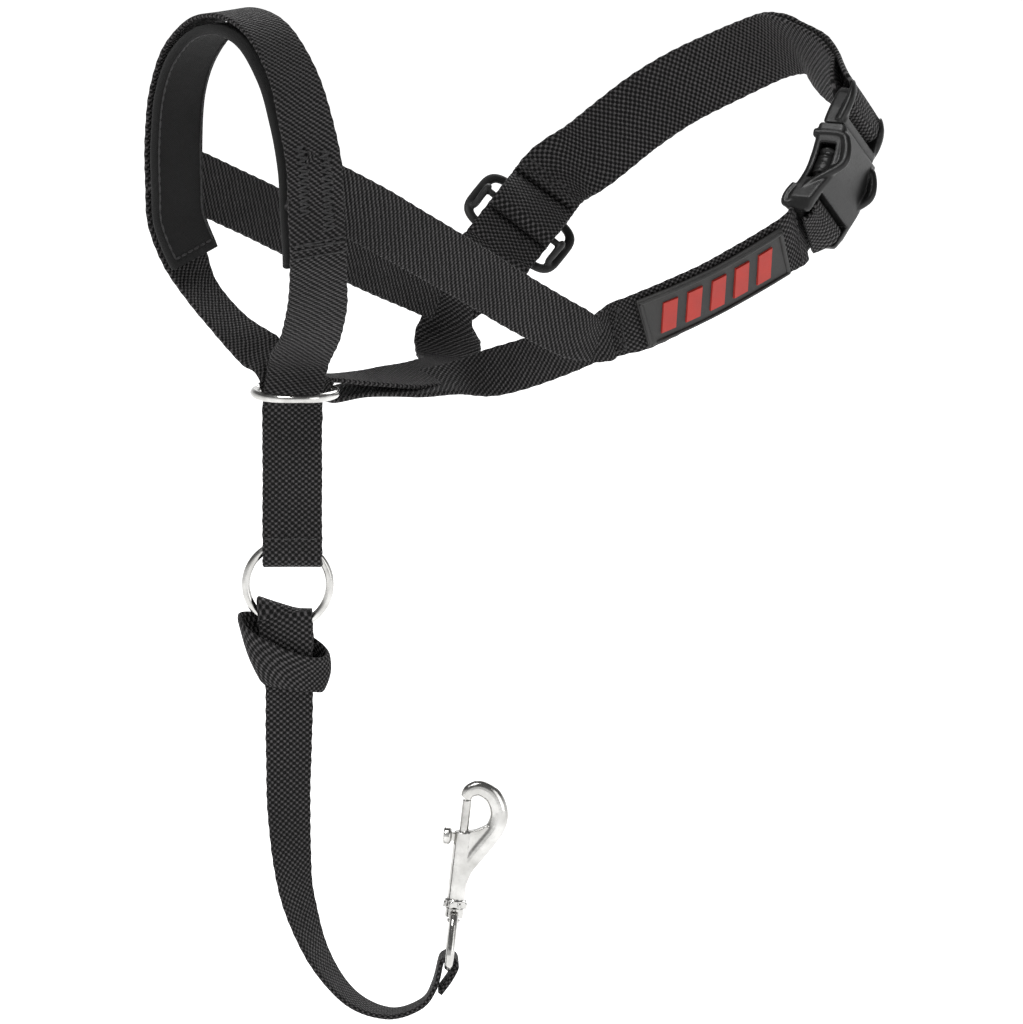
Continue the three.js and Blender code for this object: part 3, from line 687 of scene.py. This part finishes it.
RETURN_STATIONS = np.arange(45, 15, -1) / 3  # the return layer's places, counted in far_neck's stations
outer = Strap(far_neck, NECK_WIDTH)
beside = np.rint(np.interp(RETURN_STATIONS, outer.t, np.arange(len(outer.t)))).astype(int)
far_route = [
    *far_neck,
    *fold(BUCKLE, (0, 21.4, 2), 3.1, 95, 265, (0, 1, 0), (0, 0, 1), BACK, 1.0, 6),
    inside(BUCKLE, (0, 25, -2.6), BACK),
    *[station(outer.at[i] + outer.lift[i] * RETURN_LIFT, outer.across[i]) for i in beside],
]


EYE_BAR = -19.2  # the bar of the snap's eye, below the snap's origin
eye_centre = np.array(SNAP_AT) + EYE_BAR * np.array((math.sin(SNAP_LEAN), 0, math.cos(SNAP_LEAN)))
RISE = np.array((0.3, 0, 0.954))  # the strap's way into the eye
RISE_SIDE = np.array((0.954, 0, -0.3))
AWAY = (0, 1, 0)


def beside_eye(along, out):
    """A station near the snap's eye, along RISE and out to its side."""
    return inside(HANG, eye_centre + RISE * along + RISE_SIDE * out, AWAY)


SLANTED = (0.95, 0, -0.31)
# Down to the snap: x, z and how far the strap's width has turned away from FORE, in degrees.
HANGING = [
    (-2.1, -104, 0),
    (-2.3, -120, 14),
    (-2.2, -138, 25),
    (-1.3, -156, 37),
    (1.1, -172, 50),
    (8, -190.6, 65),
    (18.4, -204.2, 76),
    (31, -209.4, 82),
    (41.6, -206.2, 86),
]
safety_route = [
    inside(HANG, (-2.4, 1.6, -92), SLANTED),
    inside(HANG, (-2.8, 3, -84), SLANTED, 1.12),
    *fold(HANG, (-3.4, 0, -75.6), 3.8, 0, 180, AWAY, (-0.2, 0, 0.98), SLANTED, 1.16, 6),
    inside(HANG, (-2.8, -3, -84), SLANTED, 1.12),
    inside(HANG, (-2.5, -1.6, -93), SLANTED),
    *[
        inside(HANG, (x, 0, z), (math.cos(math.radians(turn)), math.sin(math.radians(turn)), 0))
        for x, z, turn in HANGING
    ],
    beside_eye(-8.6, -2.2),
    *fold(HANG, eye_centre, 2.6, 180, 0, RISE_SIDE, RISE, AWAY, 1, 6),
    beside_eye(-4.5, 1.8),
    beside_eye(-9.6, 0.1),
]


def stand_in(nodes):
    """Hides the CAD nodes that a piece stands for."""
    if nodes:
        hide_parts(*nodes)


def fixed(obj, body, slot, *nodes):
    stand_in(nodes)
    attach(obj, body)


def bent(obj, slot, body_a, body_b, start, end, *nodes):
    stand_in(nodes)
    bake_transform(obj)


# ---- safety strap ----
safety = Strap(safety_route, SAFETY_WIDTH)
safety_piece = webbing("safety_strap_webbing", safety, DOTS, seed=3)
fixed(safety_piece, "safety_strap", "webbing", "safety_strap")


# ---- straps ----
PULL_STRAP_TOP = -76.5  # below this the doubled strap shows its dotted weave
MUZZLE = (0, 0, -5)  # the middle of the nose loop

band = Strap(band_route, NOSE_WIDTH)
band_piece = webbing("nose_band_and_pull_strap_webbing", band, TWILL, seed=1)
bent(band_piece, "webbing", "halter", "pull_strap", (24, 0, -52), (24, 0, -84), "nose_band", "pull_strap")

for name, route, seed in (("near_cheek_strap", near_cheek, 5), ("far_cheek_strap", far_cheek, 6)):
    strap = Strap(route, NOSE_WIDTH)
    fixed(webbing(name + "_webbing", strap, TWILL, seed=seed), "halter", "webbing", name)
band_piece.data.materials.append(DOTS)
for face in band_piece.data.polygons:
    face.material_index = int(face.center.z < PULL_STRAP_TOP * MM)


def top_towards(strap, s_, way, clear):
    """The lift of the face that looks along way, and clear more."""
    away = strap.point(s_, 0, 1) - strap.point(s_, 0, -1)
    return (strap.thick / 2 + clear) * (1 if np.dot(away, way) > 0 else -1)


def facing(strap, s_):
    """The lift of the face that looks at the camera."""
    return top_towards(strap, s_, toward, -0.02)


def outward(strap, s_):
    """The lift of the face that looks away from the muzzle."""
    return top_towards(strap, s_, strap.point(s_, 0, 0) - np.array(MUZZLE), 0.1)


BAND_TACKS = ((5.95, 7.45, -6.4, -2.2, 1.1), (5.45, 7.3, 1.8, 6.2, 1.1), (5.0, 5.22, -9, 9, 0.9))
BAND_SEAM = 4.8
for name, first, way in (("near", BAND_NOSE, 1), ("far", BAND_NOSE + len(nose_route) - 1, -1)):
    runs = [
        zigzag(band.s_at(first + way * t0), band.s_at(first + way * t1), x0, x1, pitch)
        for t0, t1, x0, x1, pitch in BAND_TACKS
    ]
    seam = band.s_at(first + way * BAND_SEAM)
    runs.append([(seam, -9.2), (seam, 9.2)])
    top = outward(band, band.s_at(first + way * 6.5))
    fixed(stitches(f"nose_band_thread_{name}", band, runs, top, 3.2, 0.25), "halter", "webbing")
pull_run = [(band.s_at(4.9), -9), (band.s_at(4.9), 9)]
pull_thread = stitches("pull_strap_thread", band, [pull_run], facing(band, band.s_at(5)))
fixed(pull_thread, "pull_strap", "webbing")

jaw = Strap(jaw_route, NOSE_WIDTH)
fixed(webbing("jaw_strap_webbing", jaw, TWILL, seed=7), "halter", "webbing", "jaw_strap")
neck = Strap(near_neck, NECK_WIDTH)
fixed(webbing("neck_strap_near_webbing", neck, DOTS, seed=8), "halter", "webbing", "neck_strap_near")

box_start, box_end, buckle_seam = (neck.s_at(at) for at in (0.25, 1.2, 4.4))
neck_runs = [
    [(box_start, -9.6), (box_start, 9.6), (box_end, 9.6), (box_end, -9.6), (box_start, -9.6)],
    [(box_start, -9.6), (box_end, 9.6)],
    [(box_start, 9.6), (box_end, -9.6)],
    [(buckle_seam, -10.5), (buckle_seam, 10.5)],
]
neck_thread = stitches("neck_strap_near_thread", neck, neck_runs, facing(neck, neck.s_at(1)))
fixed(neck_thread, "halter", "webbing")

far = Strap(far_route, NECK_WIDTH)
far_end = far.length - 2.5
far_runs = [[(far_end - shift, -11), (far_end - shift, 11)] for shift in (0, 3)]
far_thread = stitches("neck_strap_far_thread", far, far_runs, facing(far, far_end))
fixed(far_thread, "halter", "webbing")
far_piece = webbing("neck_strap_far_webbing", far, DOTS, seed=9)
far_nodes = ("neck_strap_far", "neck_strap_return", "neck_strap_buckle_loop")
bent(far_piece, "webbing", "halter", "buckle_male", (243.6, 8, 14), BUCKLE.at((0, 29, 3)), *far_nodes)
sewn_end = [
    inside(SLIDER, (0, 14.5, LAYER), BACK),
    inside(SLIDER, (0, 9, LAYER), BACK),
    inside(SLIDER, (0, 4, LAYER + 0.05), BACK),
    *fold(SLIDER, (0, -0.6, 4.2), 2.3, 270, 90, (0, 1, 0), (0, 0, 1), BACK, 1, 6),
    inside(SLIDER, (0, 5, 6.1), BACK),
    inside(SLIDER, (0, 12, 4.1), BACK),
]
sewn_piece = webbing("neck_strap_sewn_end_webbing", Strap(sewn_end, NECK_WIDTH), DOTS, seed=12)
fixed(sewn_piece, "slider", "webbing", "neck_strap_sewn_end")


# ---- nose pad ----
PAD_FIRST = BAND_NOSE + 4.35  # the pad's ends, counted in band_route's stations
PAD_LAST = BAND_NOSE + len(nose_route) - 1 - 3.85
pad = Strap(band_route, PAD_WIDTH - 1, thick=PAD_THICK, lift=LAYER + 2.6, first=PAD_FIRST, last=PAD_LAST)
pad_piece = webbing("nose_pad_neoprene", pad, KNIT, seed=20, edge=0)
fixed(pad_piece, "halter", "pad", "nose_pad")
pad_edge = PAD_WIDTH / 2 - 2.4
pad_run = [(3, -pad_edge), (pad.length - 3, -pad_edge), (pad.length - 3, pad_edge), (3, pad_edge), (3, -pad_edge)]
pad_fine = [
    (a + (c - a) * i / 60, b + (d - b) * i / 60)
    for (a, b), (c, d) in zip(pad_run[:-1], pad_run[1:])
    for i in range(60 if abs(c - a) > 50 else 1)
]
pad_thread = stitches("nose_pad_thread", pad, [pad_fine + pad_run[-1:]], -outward(pad, pad.length / 2))
fixed(pad_thread, "halter", "pad")


# ---- rings ----
def wire_ring(name, frame_, radius, wire, seed):
    """A ring of round wire with a faint weld."""
    rng = np.random.default_rng(seed)
    around, sides = 128, 24
    vertices, faces = [], []
    seam = rng.uniform(0, TURN)
    for i in range(around):
        a = TURN * i / around
        weld = 1 + 0.05 * math.exp(-((math.remainder(a - seam, TURN) / 0.05) ** 2))
        for j in range(sides):
            b = TURN * j / sides
            r = radius + wire * weld * math.cos(b)
            vertices.append(frame_.at((r * math.cos(a), r * math.sin(a), wire * weld * math.sin(b))))
    for i in range(around):
        for j in range(sides):
            k, l = (i + 1) % around, (j + 1) % sides
            faces.append((i * sides + j, k * sides + j, k * sides + l, i * sides + l))
    return mesh_object(name, vertices, faces, NICKEL)


chin_frame = Frame(CHIN, (0, 1, 0), (1, 0, 0))
fixed(wire_ring("chin_ring_wire", chin_frame, 13.5, 1.5, 4), "chin_ring", "nickel", "chin_ring")
lead_frame = Frame(HANG.at((PULL_SHIFT - 1.5, 0, -64.6)), (0, 0, 1), HANG.axes[0])
fixed(wire_ring("lead_ring_wire", lead_frame, 13.9, 1.4, 2), "lead_ring", "nickel", "lead_ring")


# ---- moulded and cast parts ----
def box_shape(x0, x1, y0, y1, z0, z1):
    corners = [(x, y, z) for x in (x0, x1) for y in (y0, y1) for z in (z0, z1)]
    return corners, [(0, 1, 3, 2), (4, 6, 7, 5), (0, 4, 5, 1), (2, 3, 7, 6), (0, 2, 6, 4), (1, 5, 7, 3)]


def tube_shape(points, radii, depth=1.0, flat=(0, 1, 0)):
    """A rod through points; radii are its half-widths, and depth scales it along flat."""
    sides = 16
    points = np.array(points, float)
    t = np.linspace(0, len(points) - 1, 8 * len(points))
    at, slope = spline(points, t)
    slope = unit(slope)
    reach = np.interp(t, np.arange(len(points)), radii)
    flat = np.array(flat, float)
    across = unit(np.cross(slope, flat))
    other = unit(np.cross(across, slope))
    vertices = []
    for i in range(len(t)):
        for j in range(sides):
            a = TURN * j / sides
            vertices.append(at[i] + across[i] * reach[i] * math.cos(a) + other[i] * reach[i] * depth * math.sin(a))
    faces = skin_faces(len(t), sides)
    faces.append(tuple(range(sides))[::-1])
    faces.append(tuple((len(t) - 1) * sides + j for j in range(sides)))
    return vertices, faces


def slab_shape(outline, y0, y1):
    """A plate in the local x-z plane, from y0 to y1."""
    count = len(outline)
    vertices = [(x, y0, z) for x, z in outline] + [(x, y1, z) for x, z in outline]
    faces = [tuple(range(count)), tuple(range(2 * count - 1, count - 1, -1))]
    faces += [(i, i + count, (i + 1) % count + count, (i + 1) % count) for i in range(count)]
    return vertices, faces


def moulded(name, frame_, shapes, node, body, material, voxel, rounds, warp=None, from_cad=True):
    """Shapes, with the CAD node's own if from_cad, in one skin with rounded edges; warp bends it locally."""
    vertices, faces = [], []
    for points, sides in shapes:
        offset = len(vertices)
        vertices.extend(frame_.at(points).tolist())
        faces.extend([tuple(offset + q for q in f) for f in sides])
    if from_cad:
        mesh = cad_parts[node].data
        offset = len(vertices)
        vertices.extend((np.array([v.co for v in mesh.vertices]) / MM).tolist())
        faces.extend([tuple(offset + q for q in f.vertices) for f in mesh.polygons])
    obj = mesh_object(name, vertices, faces, material)
    weld = bmesh.new()
    weld.from_mesh(obj.data)
    bmesh.ops.recalc_face_normals(weld, faces=weld.faces)
    weld.to_mesh(obj.data)
    weld.free()
    remesh = obj.modifiers.new("remesh", "REMESH")
    remesh.mode = "VOXEL"
    remesh.voxel_size = voxel * MM
    smooth = obj.modifiers.new("smooth", "SMOOTH")
    smooth.factor = 0.5
    smooth.iterations = rounds
    graph = bpy.context.evaluated_depsgraph_get()
    final = bpy.data.meshes.new_from_object(obj.evaluated_get(graph))
    obj.modifiers.clear()
    obj.data = final
    if warp:
        places = np.array([v.co for v in final.vertices]) / MM
        local = (places - frame_.origin) @ frame_.axes.T
        final.vertices.foreach_set("co", (frame_.at(warp(local)) * MM).ravel())
        final.update()
    final.materials.clear()
    final.materials.append(material)
    final.polygons.foreach_set("use_smooth", [True] * len(final.polygons))
    fixed(obj, body, "nickel" if material is NICKEL else "plastic", node)


# The buckle follows the neck: how far it is lifted, by how far along it a place lies.
BEND_AT = (-26, -20, -14, -8, -3, 5, 12, 20, 29)
BEND_BY = (-3.6, -2.9, -1.4, 0.6, 1.6, 1.9, 1.8, 2.0, 2.6)


def buckle_bend(p):
    """The lift of each place, on a smooth curve through the table."""
    place = np.interp(p[:, 1], BEND_AT, np.arange(len(BEND_AT)))
    curve, _ = spline(np.array([BEND_BY]).T, place)
    return curve[:, 0]


def bend_female(p):
    swell = np.interp(p[:, 1], (-22, -14, -6, -1, 5, 11), (0.86, 1.0, 1.12, 1.14, 1.08, 1.04))
    q = p.copy()
    q[:, 2] = p[:, 2] * swell + buckle_bend(p)
    return q


def bend_lower_prong(p):
    q = bend_female(p)
    q[:, 0] = np.minimum(p[:, 0], 10) + np.maximum(p[:, 0] - 10, 0) * 0.5
    return q


def bend_male(p):
    q = p.copy()
    edge = np.clip((np.abs(p[:, 0]) - 11.5) / 3.5, 0, 1)
    reach = np.clip((p[:, 1] - 13) / 12.5, 0, 1)
    q[:, 1] = p[:, 1] + 3.2 * edge * reach**2
    q[:, 2] = p[:, 2] * (1 - 0.5 * edge * reach**2) + buckle_bend(p) + 0.6 * edge * reach
    return q


# The bead round each of the shell's side windows, as (y, z).
RIM_PATH = [
    (7.4, -5.8), (7.8, 0), (7.3, 4.2), (5, 5.7), (1.5, 6.5), (-2.5, 6.5), (-4.8, 5.4),
    (-7, 3.4), (-10.8, 0.2), (-16, -2.4), (-18.8, -3.6), (-18.6, -5.6), (-15.8, -5.9), (-12, -4.8),
]
RIM_POINTS = 70
female_extra = []
male_extra = []
for side, rim_x in ((-1, -14.6), (1, 12)):
    rim_stations = np.array([(rim_x, y, z) for y, z in RIM_PATH])
    rim, _ = spline(rim_stations, np.linspace(0, len(RIM_PATH) - 1, RIM_POINTS))
    female_extra.append(tube_shape([tuple(q) for q in rim], (1.6,) * RIM_POINTS, 0.9, flat=(1, 0, 0)))
    arm = [(side * 15, 12.2, 1.8), (side * 15, 17, 3), (side * 14.8, 22, 3.8), (side * 13.2, 25.4, 2.2)]
    male_extra.append(tube_shape(arm, (1.4, 1.7, 1.6, 1.1)))
moulded("buckle_female_moulding", BUCKLE, female_extra, "buckle_female", "halter", PLASTIC, 0.32, 5, bend_female)
moulded("buckle_male_moulding", BUCKLE, male_extra, "buckle_male_base", "buckle_male", PLASTIC, 0.32, 5, bend_male)

# Each prong's press pad is ribbed. The lower one, on the far side, is narrower.
for which, side, reach, bend in (("upper", -1, 14.2, bend_female), ("lower", 1, 11.2, bend_lower_prong)):
    low_x, top_x = side * (reach - 1.6), side * reach
    pads = [
        tube_shape([(low_x, y, -2.6), (top_x, y + 0.3, 0), (low_x, y, 2.6)], (0.75,) * 3)
        for y in (-6.2, -3.6, -1, 1.6)
    ]
    core = [(side * 10.6, -8.6, 0), (side * (reach - 2), -4.5, 0), (side * (reach - 2), 1.5, 0)]
    pads.append(tube_shape(core, (1.6, 2.6, 2.0), 1.25, flat=(0, 0, 1)))
    name = f"buckle_prong_{which}"
    moulded(f"{name}_moulding", BUCKLE, pads, name, f"prong_{which}", PLASTIC, 0.28, 4, bend)


LOOP_HALF_LENGTH = 17.4
LOOP_HALF_WIDTH = 11
LOOP_SHIFT = 2.2  # the slider's loop lies this far along the strap from its centre bar
LOOP_STEPS = 48


def slider_shapes():
    """A rounded loop of flat section with a raised centre bar inside."""
    loop = []
    for i in range(LOOP_STEPS + 1):
        a = TURN * i / LOOP_STEPS
        c, d = math.cos(a), math.sin(a)
        x = LOOP_HALF_LENGTH * abs(c) ** 0.36 * (1 if c > 0 else -1)
        y = LOOP_HALF_WIDTH * abs(d) ** 0.45 * (1 if d > 0 else -1) + LOOP_SHIFT
        loop.append((x, y, -2.2))
    bridge = [(15.6, y, z) for y, z in ((4.2, -1), (2.4, 2.4), (0, 4.2), (-2.4, 2.4), (-4.2, -1))]
    bridge = [(17.2, 4.8, -2.2), *bridge, (17.2, -4.8, -2.2)]
    bridge_half = (1.2, 1.4, 1.5, 1.6, 1.5, 1.4, 1.2)
    return [
        tube_shape(loop, (1.75,) * len(loop), 0.62, flat=(0, 0, 1)),
        tube_shape(bridge, bridge_half, 0.8, flat=(1, 0, 0)),
        tube_shape([(-x, y, z) for x, y, z in bridge], bridge_half, 0.8, flat=(1, 0, 0)),
        tube_shape([(-14.6, 0, 4.2), (0, 0, 4.2), (14.6, 0, 4.2)], (1.2,) * 3, 0.9),
    ]


moulded("slider_moulding", SLIDER, slider_shapes(), "slider", "slider", SATIN, 0.3, 4, from_cad=False)

# The snap: its hook's middle line and half-widths, and the web between the hook and the barrel as (x, z).
HOOK = [
    (0.6, 0, 8), (1.8, 0, 13.5), (5.0, 0, 19), (8.2, 0, 24), (10.6, 0, 28.5),
    (10.9, 0, 33.4), (8.4, 0, 38.3), (4.0, 0, 40.5), (0.6, 0, 39.2), (-0.6, 0, 36.6),
]
HOOK_HALF = (2.4, 3.0, 3.3, 3.3, 3.2, 3.05, 2.9, 2.75, 2.4, 1.9)
WEB_OUTLINE = [(0, 12), (3.4, 14.6), (9.0, 22), (9.2, 27), (7.4, 28.6), (5.6, 27.4), (3.4, 26.3), (0, 25.8)]
LOBES = (20, 65, 110, 155, 200, 245, 290, 335)  # round the barrel's foot, in degrees


def post_shape(radius, low, high):
    """A round post along the local z."""
    sides = 28
    ring = [(radius * math.cos(TURN * j / sides), radius * math.sin(TURN * j / sides)) for j in range(sides)]
    vertices = [(x, y, low) for x, y in ring] + [(x, y, high) for x, y in ring]
    faces = [tuple(range(sides))[::-1], tuple(range(sides, 2 * sides))]
    return vertices, faces + skin_faces(2, sides)


body_shapes = [
    tube_shape(HOOK, HOOK_HALF, 0.78),
    slab_shape(WEB_OUTLINE, -1.9, 1.9),
    post_shape(3.05, 0.4, 25.4),
    post_shape(3.7, 0, 2.4),
    post_shape(2.2, -5.4, -4.3),
    post_shape(1.1, -4.8, 1),
]
for degrees in LOBES:
    a = math.radians(degrees)
    lobe = [(3.5 * math.cos(a), 3.5 * math.sin(a), -0.2), (3.7 * math.cos(a), 3.7 * math.sin(a), 1.6)]
    body_shapes.append(tube_shape(lobe, (0.75, 0.55), flat=(math.sin(a), -math.cos(a), 0)))
knob = [(-3.9, 0, 23.4), (-4.6, 0, 23.4), (-6.2, 0, 23.4), (-6.7, 0, 23.4)]
bolt_shapes = [
    post_shape(1.55, 16, 36.2),
    box_shape(-4.6, 0, -1.1, 1.1, 22, 24.8),
    tube_shape(knob, (2.3, 3.1, 2.9, 2.2)),
]
moulded("snap_body_casting", SNAP, body_shapes, "snap_body", "snap_body", NICKEL, 0.2, 5, from_cad=False)
moulded("snap_bolt_casting", SNAP, bolt_shapes, "snap_bolt", "snap_bolt", NICKEL, 0.2, 3, from_cad=False)
moulded("snap_eye_wire", SNAP, [], "snap_eye", "snap_eye", NICKEL, 0.22, 3)

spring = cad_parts["snap_spring"].data
spring.materials.clear()
spring.materials.append(NICKEL)


# ---- patch ----
patch = Strap(near_neck, 21, thick=2.1, lift=LAYER + 0.25, first=PATCH_FROM, last=PATCH_TO)
patch_piece = webbing("label_patch_rubber", patch, RUBBER, seed=30, edge=0)
fixed(patch_piece, "halter", "patch_rubber", "label_patch")
RIM_OUT = 9.2  # the raised rim's distance from the patch's middle line
# The rim's corners; a negative s counts back from the patch's far end.
rim_corners = [(1.3, -RIM_OUT), (1, -RIM_OUT), (1, RIM_OUT), (-1, RIM_OUT), (-1, -RIM_OUT), (1, -RIM_OUT)]
rim_run = []
for (a, b), (c, d) in zip(rim_corners, rim_corners[1:]):
    a, c = (v if v > 0 else patch.length + v for v in (a, c))
    rim_run += [patch.point(a + (c - a) * i / 24, b + (d - b) * i / 24, patch.thick / 2 + 0.05) for i in range(24)]
rim_vertices, rim_faces = tube_shape(rim_run, (0.75,) * len(rim_run), 0.8, flat=tuple(patch.across[0]))
fixed(mesh_object("label_patch_rim", rim_vertices, rim_faces, RUBBER), "halter", "patch_rubber")


HITCH_AROUND = 120
HITCH_ROWS = 26
HITCH_TALL = 15.5  # the wrap's height and girth, as millimetres of cloth for the weave
HITCH_GIRTH = 64
HEM_ROWS = 2.2
HEM_THINNING = 0.7


def hitch_place(a, f, skin):
    """A place on the wrap, at the angle a and f of the way down, on its outer or inner skin."""
    top = np.array((-4.2 + 14.6 * math.cos(a), 7.6 * math.sin(a), -81.5 - 6.2 * math.cos(a) + 3.4 * math.sin(a)))
    low = np.array((-0.7 + 9.4 * math.cos(a), 3.2 * math.sin(a), -99.6 - 1.3 * math.cos(a)))
    bow = math.sin(math.pi * f)
    hem_top = max(0, 1 - f * HITCH_ROWS / HEM_ROWS) ** 2 * HEM_THINNING
    hem_low = max(0, 1 - (1 - f) * HITCH_ROWS / HEM_ROWS) ** 2 * HEM_THINNING
    hem = 1 - hem_top - hem_low
    out = np.array((math.cos(a), math.sin(a) * 1.6, 0))
    crease = 0.5 * math.sin(2 * a + 0.6) * bow + 0.25 * math.sin(5 * a + 4 * f)
    at = top + (low - top) * f
    return HANG.at(at + unit(out) * (skin * hem + crease) + np.array((0.9 * bow * math.cos(a), 0, 0)))


def hitch():
    """The strap's wrap round itself: open and slanting above, drawn in below."""
    vertices, uvs = [], []
    for skin in (0.8, -0.8):
        for r in range(HITCH_ROWS + 1):
            f = r / HITCH_ROWS
            for i in range(HITCH_AROUND):
                vertices.append(hitch_place(TURN * i / HITCH_AROUND, f, skin))
                uvs.append((f * HITCH_TALL, i / HITCH_AROUND * HITCH_GIRTH))
    faces = []
    count = (HITCH_ROWS + 1) * HITCH_AROUND
    last = HITCH_ROWS * HITCH_AROUND
    for i in range(HITCH_AROUND):
        k = (i + 1) % HITCH_AROUND
        for a in range(0, last, HITCH_AROUND):
            b = a + HITCH_AROUND
            faces.append((a + i, b + i, b + k, a + k))
            faces.append((count + a + i, count + a + k, count + b + k, count + b + i))
        faces.append((i, k, count + k, count + i))
        faces.append((last + i, count + last + i, count + last + k, last + k))
    obj = mesh_object("safety_strap_wrap_webbing", vertices, faces, DOTS, uvs)
    fixed(obj, "safety_strap", "webbing", "safety_strap_keeper")


hitch()
(HANG.at((PULL_SHIFT, 0, -79.5)) * MM).tolist()


# ---- patch marks: a plain row of slanted bars ----
BARS = 5
BAR_MARGIN = 5.0  # from the patch's ends to the row
BAR_SHARE = 0.62  # of the row's pitch that a bar fills
BAR_HALF = 6.2
BAR_SLANT = 0.28
BAR_TAPER = 0.25  # how much a bar's top is drawn in


def patch_marks():
    vertices, faces = [], []
    top = patch.thick / 2
    row = patch.length - 2 * BAR_MARGIN
    wide = row / BARS * BAR_SHARE
    steps = 5
    for j in range(BARS):
        start = BAR_MARGIN + j * row / BARS
        offset = len(vertices)
        for lift, taper in ((top - 0.2, 0.0), (top + 0.75, BAR_TAPER)):
            for a in range(steps + 1):
                for b in range(steps + 1):
                    x = -BAR_HALF + taper + (2 * BAR_HALF - 2 * taper) * b / steps
                    s_ = start + taper + (wide - 2 * taper) * a / steps + BAR_SLANT * (x + BAR_HALF)
                    vertices.append(patch.point(s_, x, lift))
        n = steps + 1
        for a in range(steps):
            for b in range(steps):
                q = offset + a * n + b
                faces.append((q, q + 1, q + n + 1, q + n))
                q += n * n
                faces.append((q, q + n, q + n + 1, q + 1))
        edge = [a * n for a in range(n)] + [(n - 1) * n + b for b in range(1, n)]
        edge += [a * n + n - 1 for a in range(n - 2, -1, -1)] + list(range(n - 2, 0, -1))
        for q, r in zip(edge, edge[1:] + edge[:1]):
            faces.append((offset + q, offset + r, offset + r + n * n, offset + q + n * n))
    obj = mesh_object("patch_motif_bars", vertices, faces, RED, smooth=False)
    fixed(obj, "halter", "red_rubber", "patch_motif")


patch_marks()


# ---- floor and light ----
FLOOR_GAP = 0.05


def floor():
    """A pale floor under the object, bright enough to meet the background."""
    low = cad_box[0][2] - FLOOR_GAP
    bpy.ops.mesh.primitive_plane_add(size=40, location=(0, 0, low))
    obj = bpy.context.object
    obj.name = "floor"
    n = Nodes("floor")
    n.set(
        Base_Color=n.mix(n.noise(3, 2), (0.86, 0.86, 0.86, 1), (0.9, 0.9, 0.9, 1)),
        Roughness=0.9,
        Emission_Color=(1, 1, 1, 1),
        Emission_Strength=0.8,
    )
    obj.data.materials.append(n.material)


def area(name, place, size, power):
    """A soft light at place from the object's middle, turned to it; size is in metres and power in watts."""
    light = bpy.data.lights.new(name, "AREA")
    light.shape = "RECTANGLE"
    light.size, light.size_y = size
    light.energy = power
    obj = bpy.data.objects.new(name, light)
    bpy.context.scene.collection.objects.link(obj)
    centre = Vector((0.12, 0, -0.1))
    obj.location = centre + Vector(place)
    obj.rotation_euler = (centre - obj.location).to_track_quat("-Z", "Y").to_euler()


floor()
area("key", toward * 1.1 + up * 1.5 + right * -0.7, (0.9, 0.9), 26)
area("fill", toward * 1.4 + right * 1.6 + up * 0.3, (0.9, 1.4), 7)
area("rim", toward * -1.2 + up * 1.2 + right * 0.4, (1.4, 0.8), 14)

# White at the horizon and below, dark above, so that the metal has something to reflect.
world = bpy.data.worlds.new("studio")
world.use_nodes = True
tree = world.node_tree
height = tree.nodes.new("ShaderNodeSeparateXYZ")
tree.links.new(tree.nodes.new("ShaderNodeTexCoord").outputs["Generated"], height.inputs[0])
sky = tree.nodes.new("ShaderNodeValToRGB")
sky.color_ramp.elements[0].position = 0.12
sky.color_ramp.elements[0].color = (1, 1, 1, 1)
sky.color_ramp.elements[1].position = 0.4
sky.color_ramp.elements[1].color = (0.16, 0.16, 0.16, 1)
tree.links.new(height.outputs["Z"], sky.inputs[0])
tree.links.new(sky.outputs["Color"], tree.nodes["Background"].inputs["Color"])
tree.nodes["Background"].inputs["Strength"].default_value = 1
bpy.context.scene.world = world
bpy.context.scene.view_settings.view_transform = "Standard"
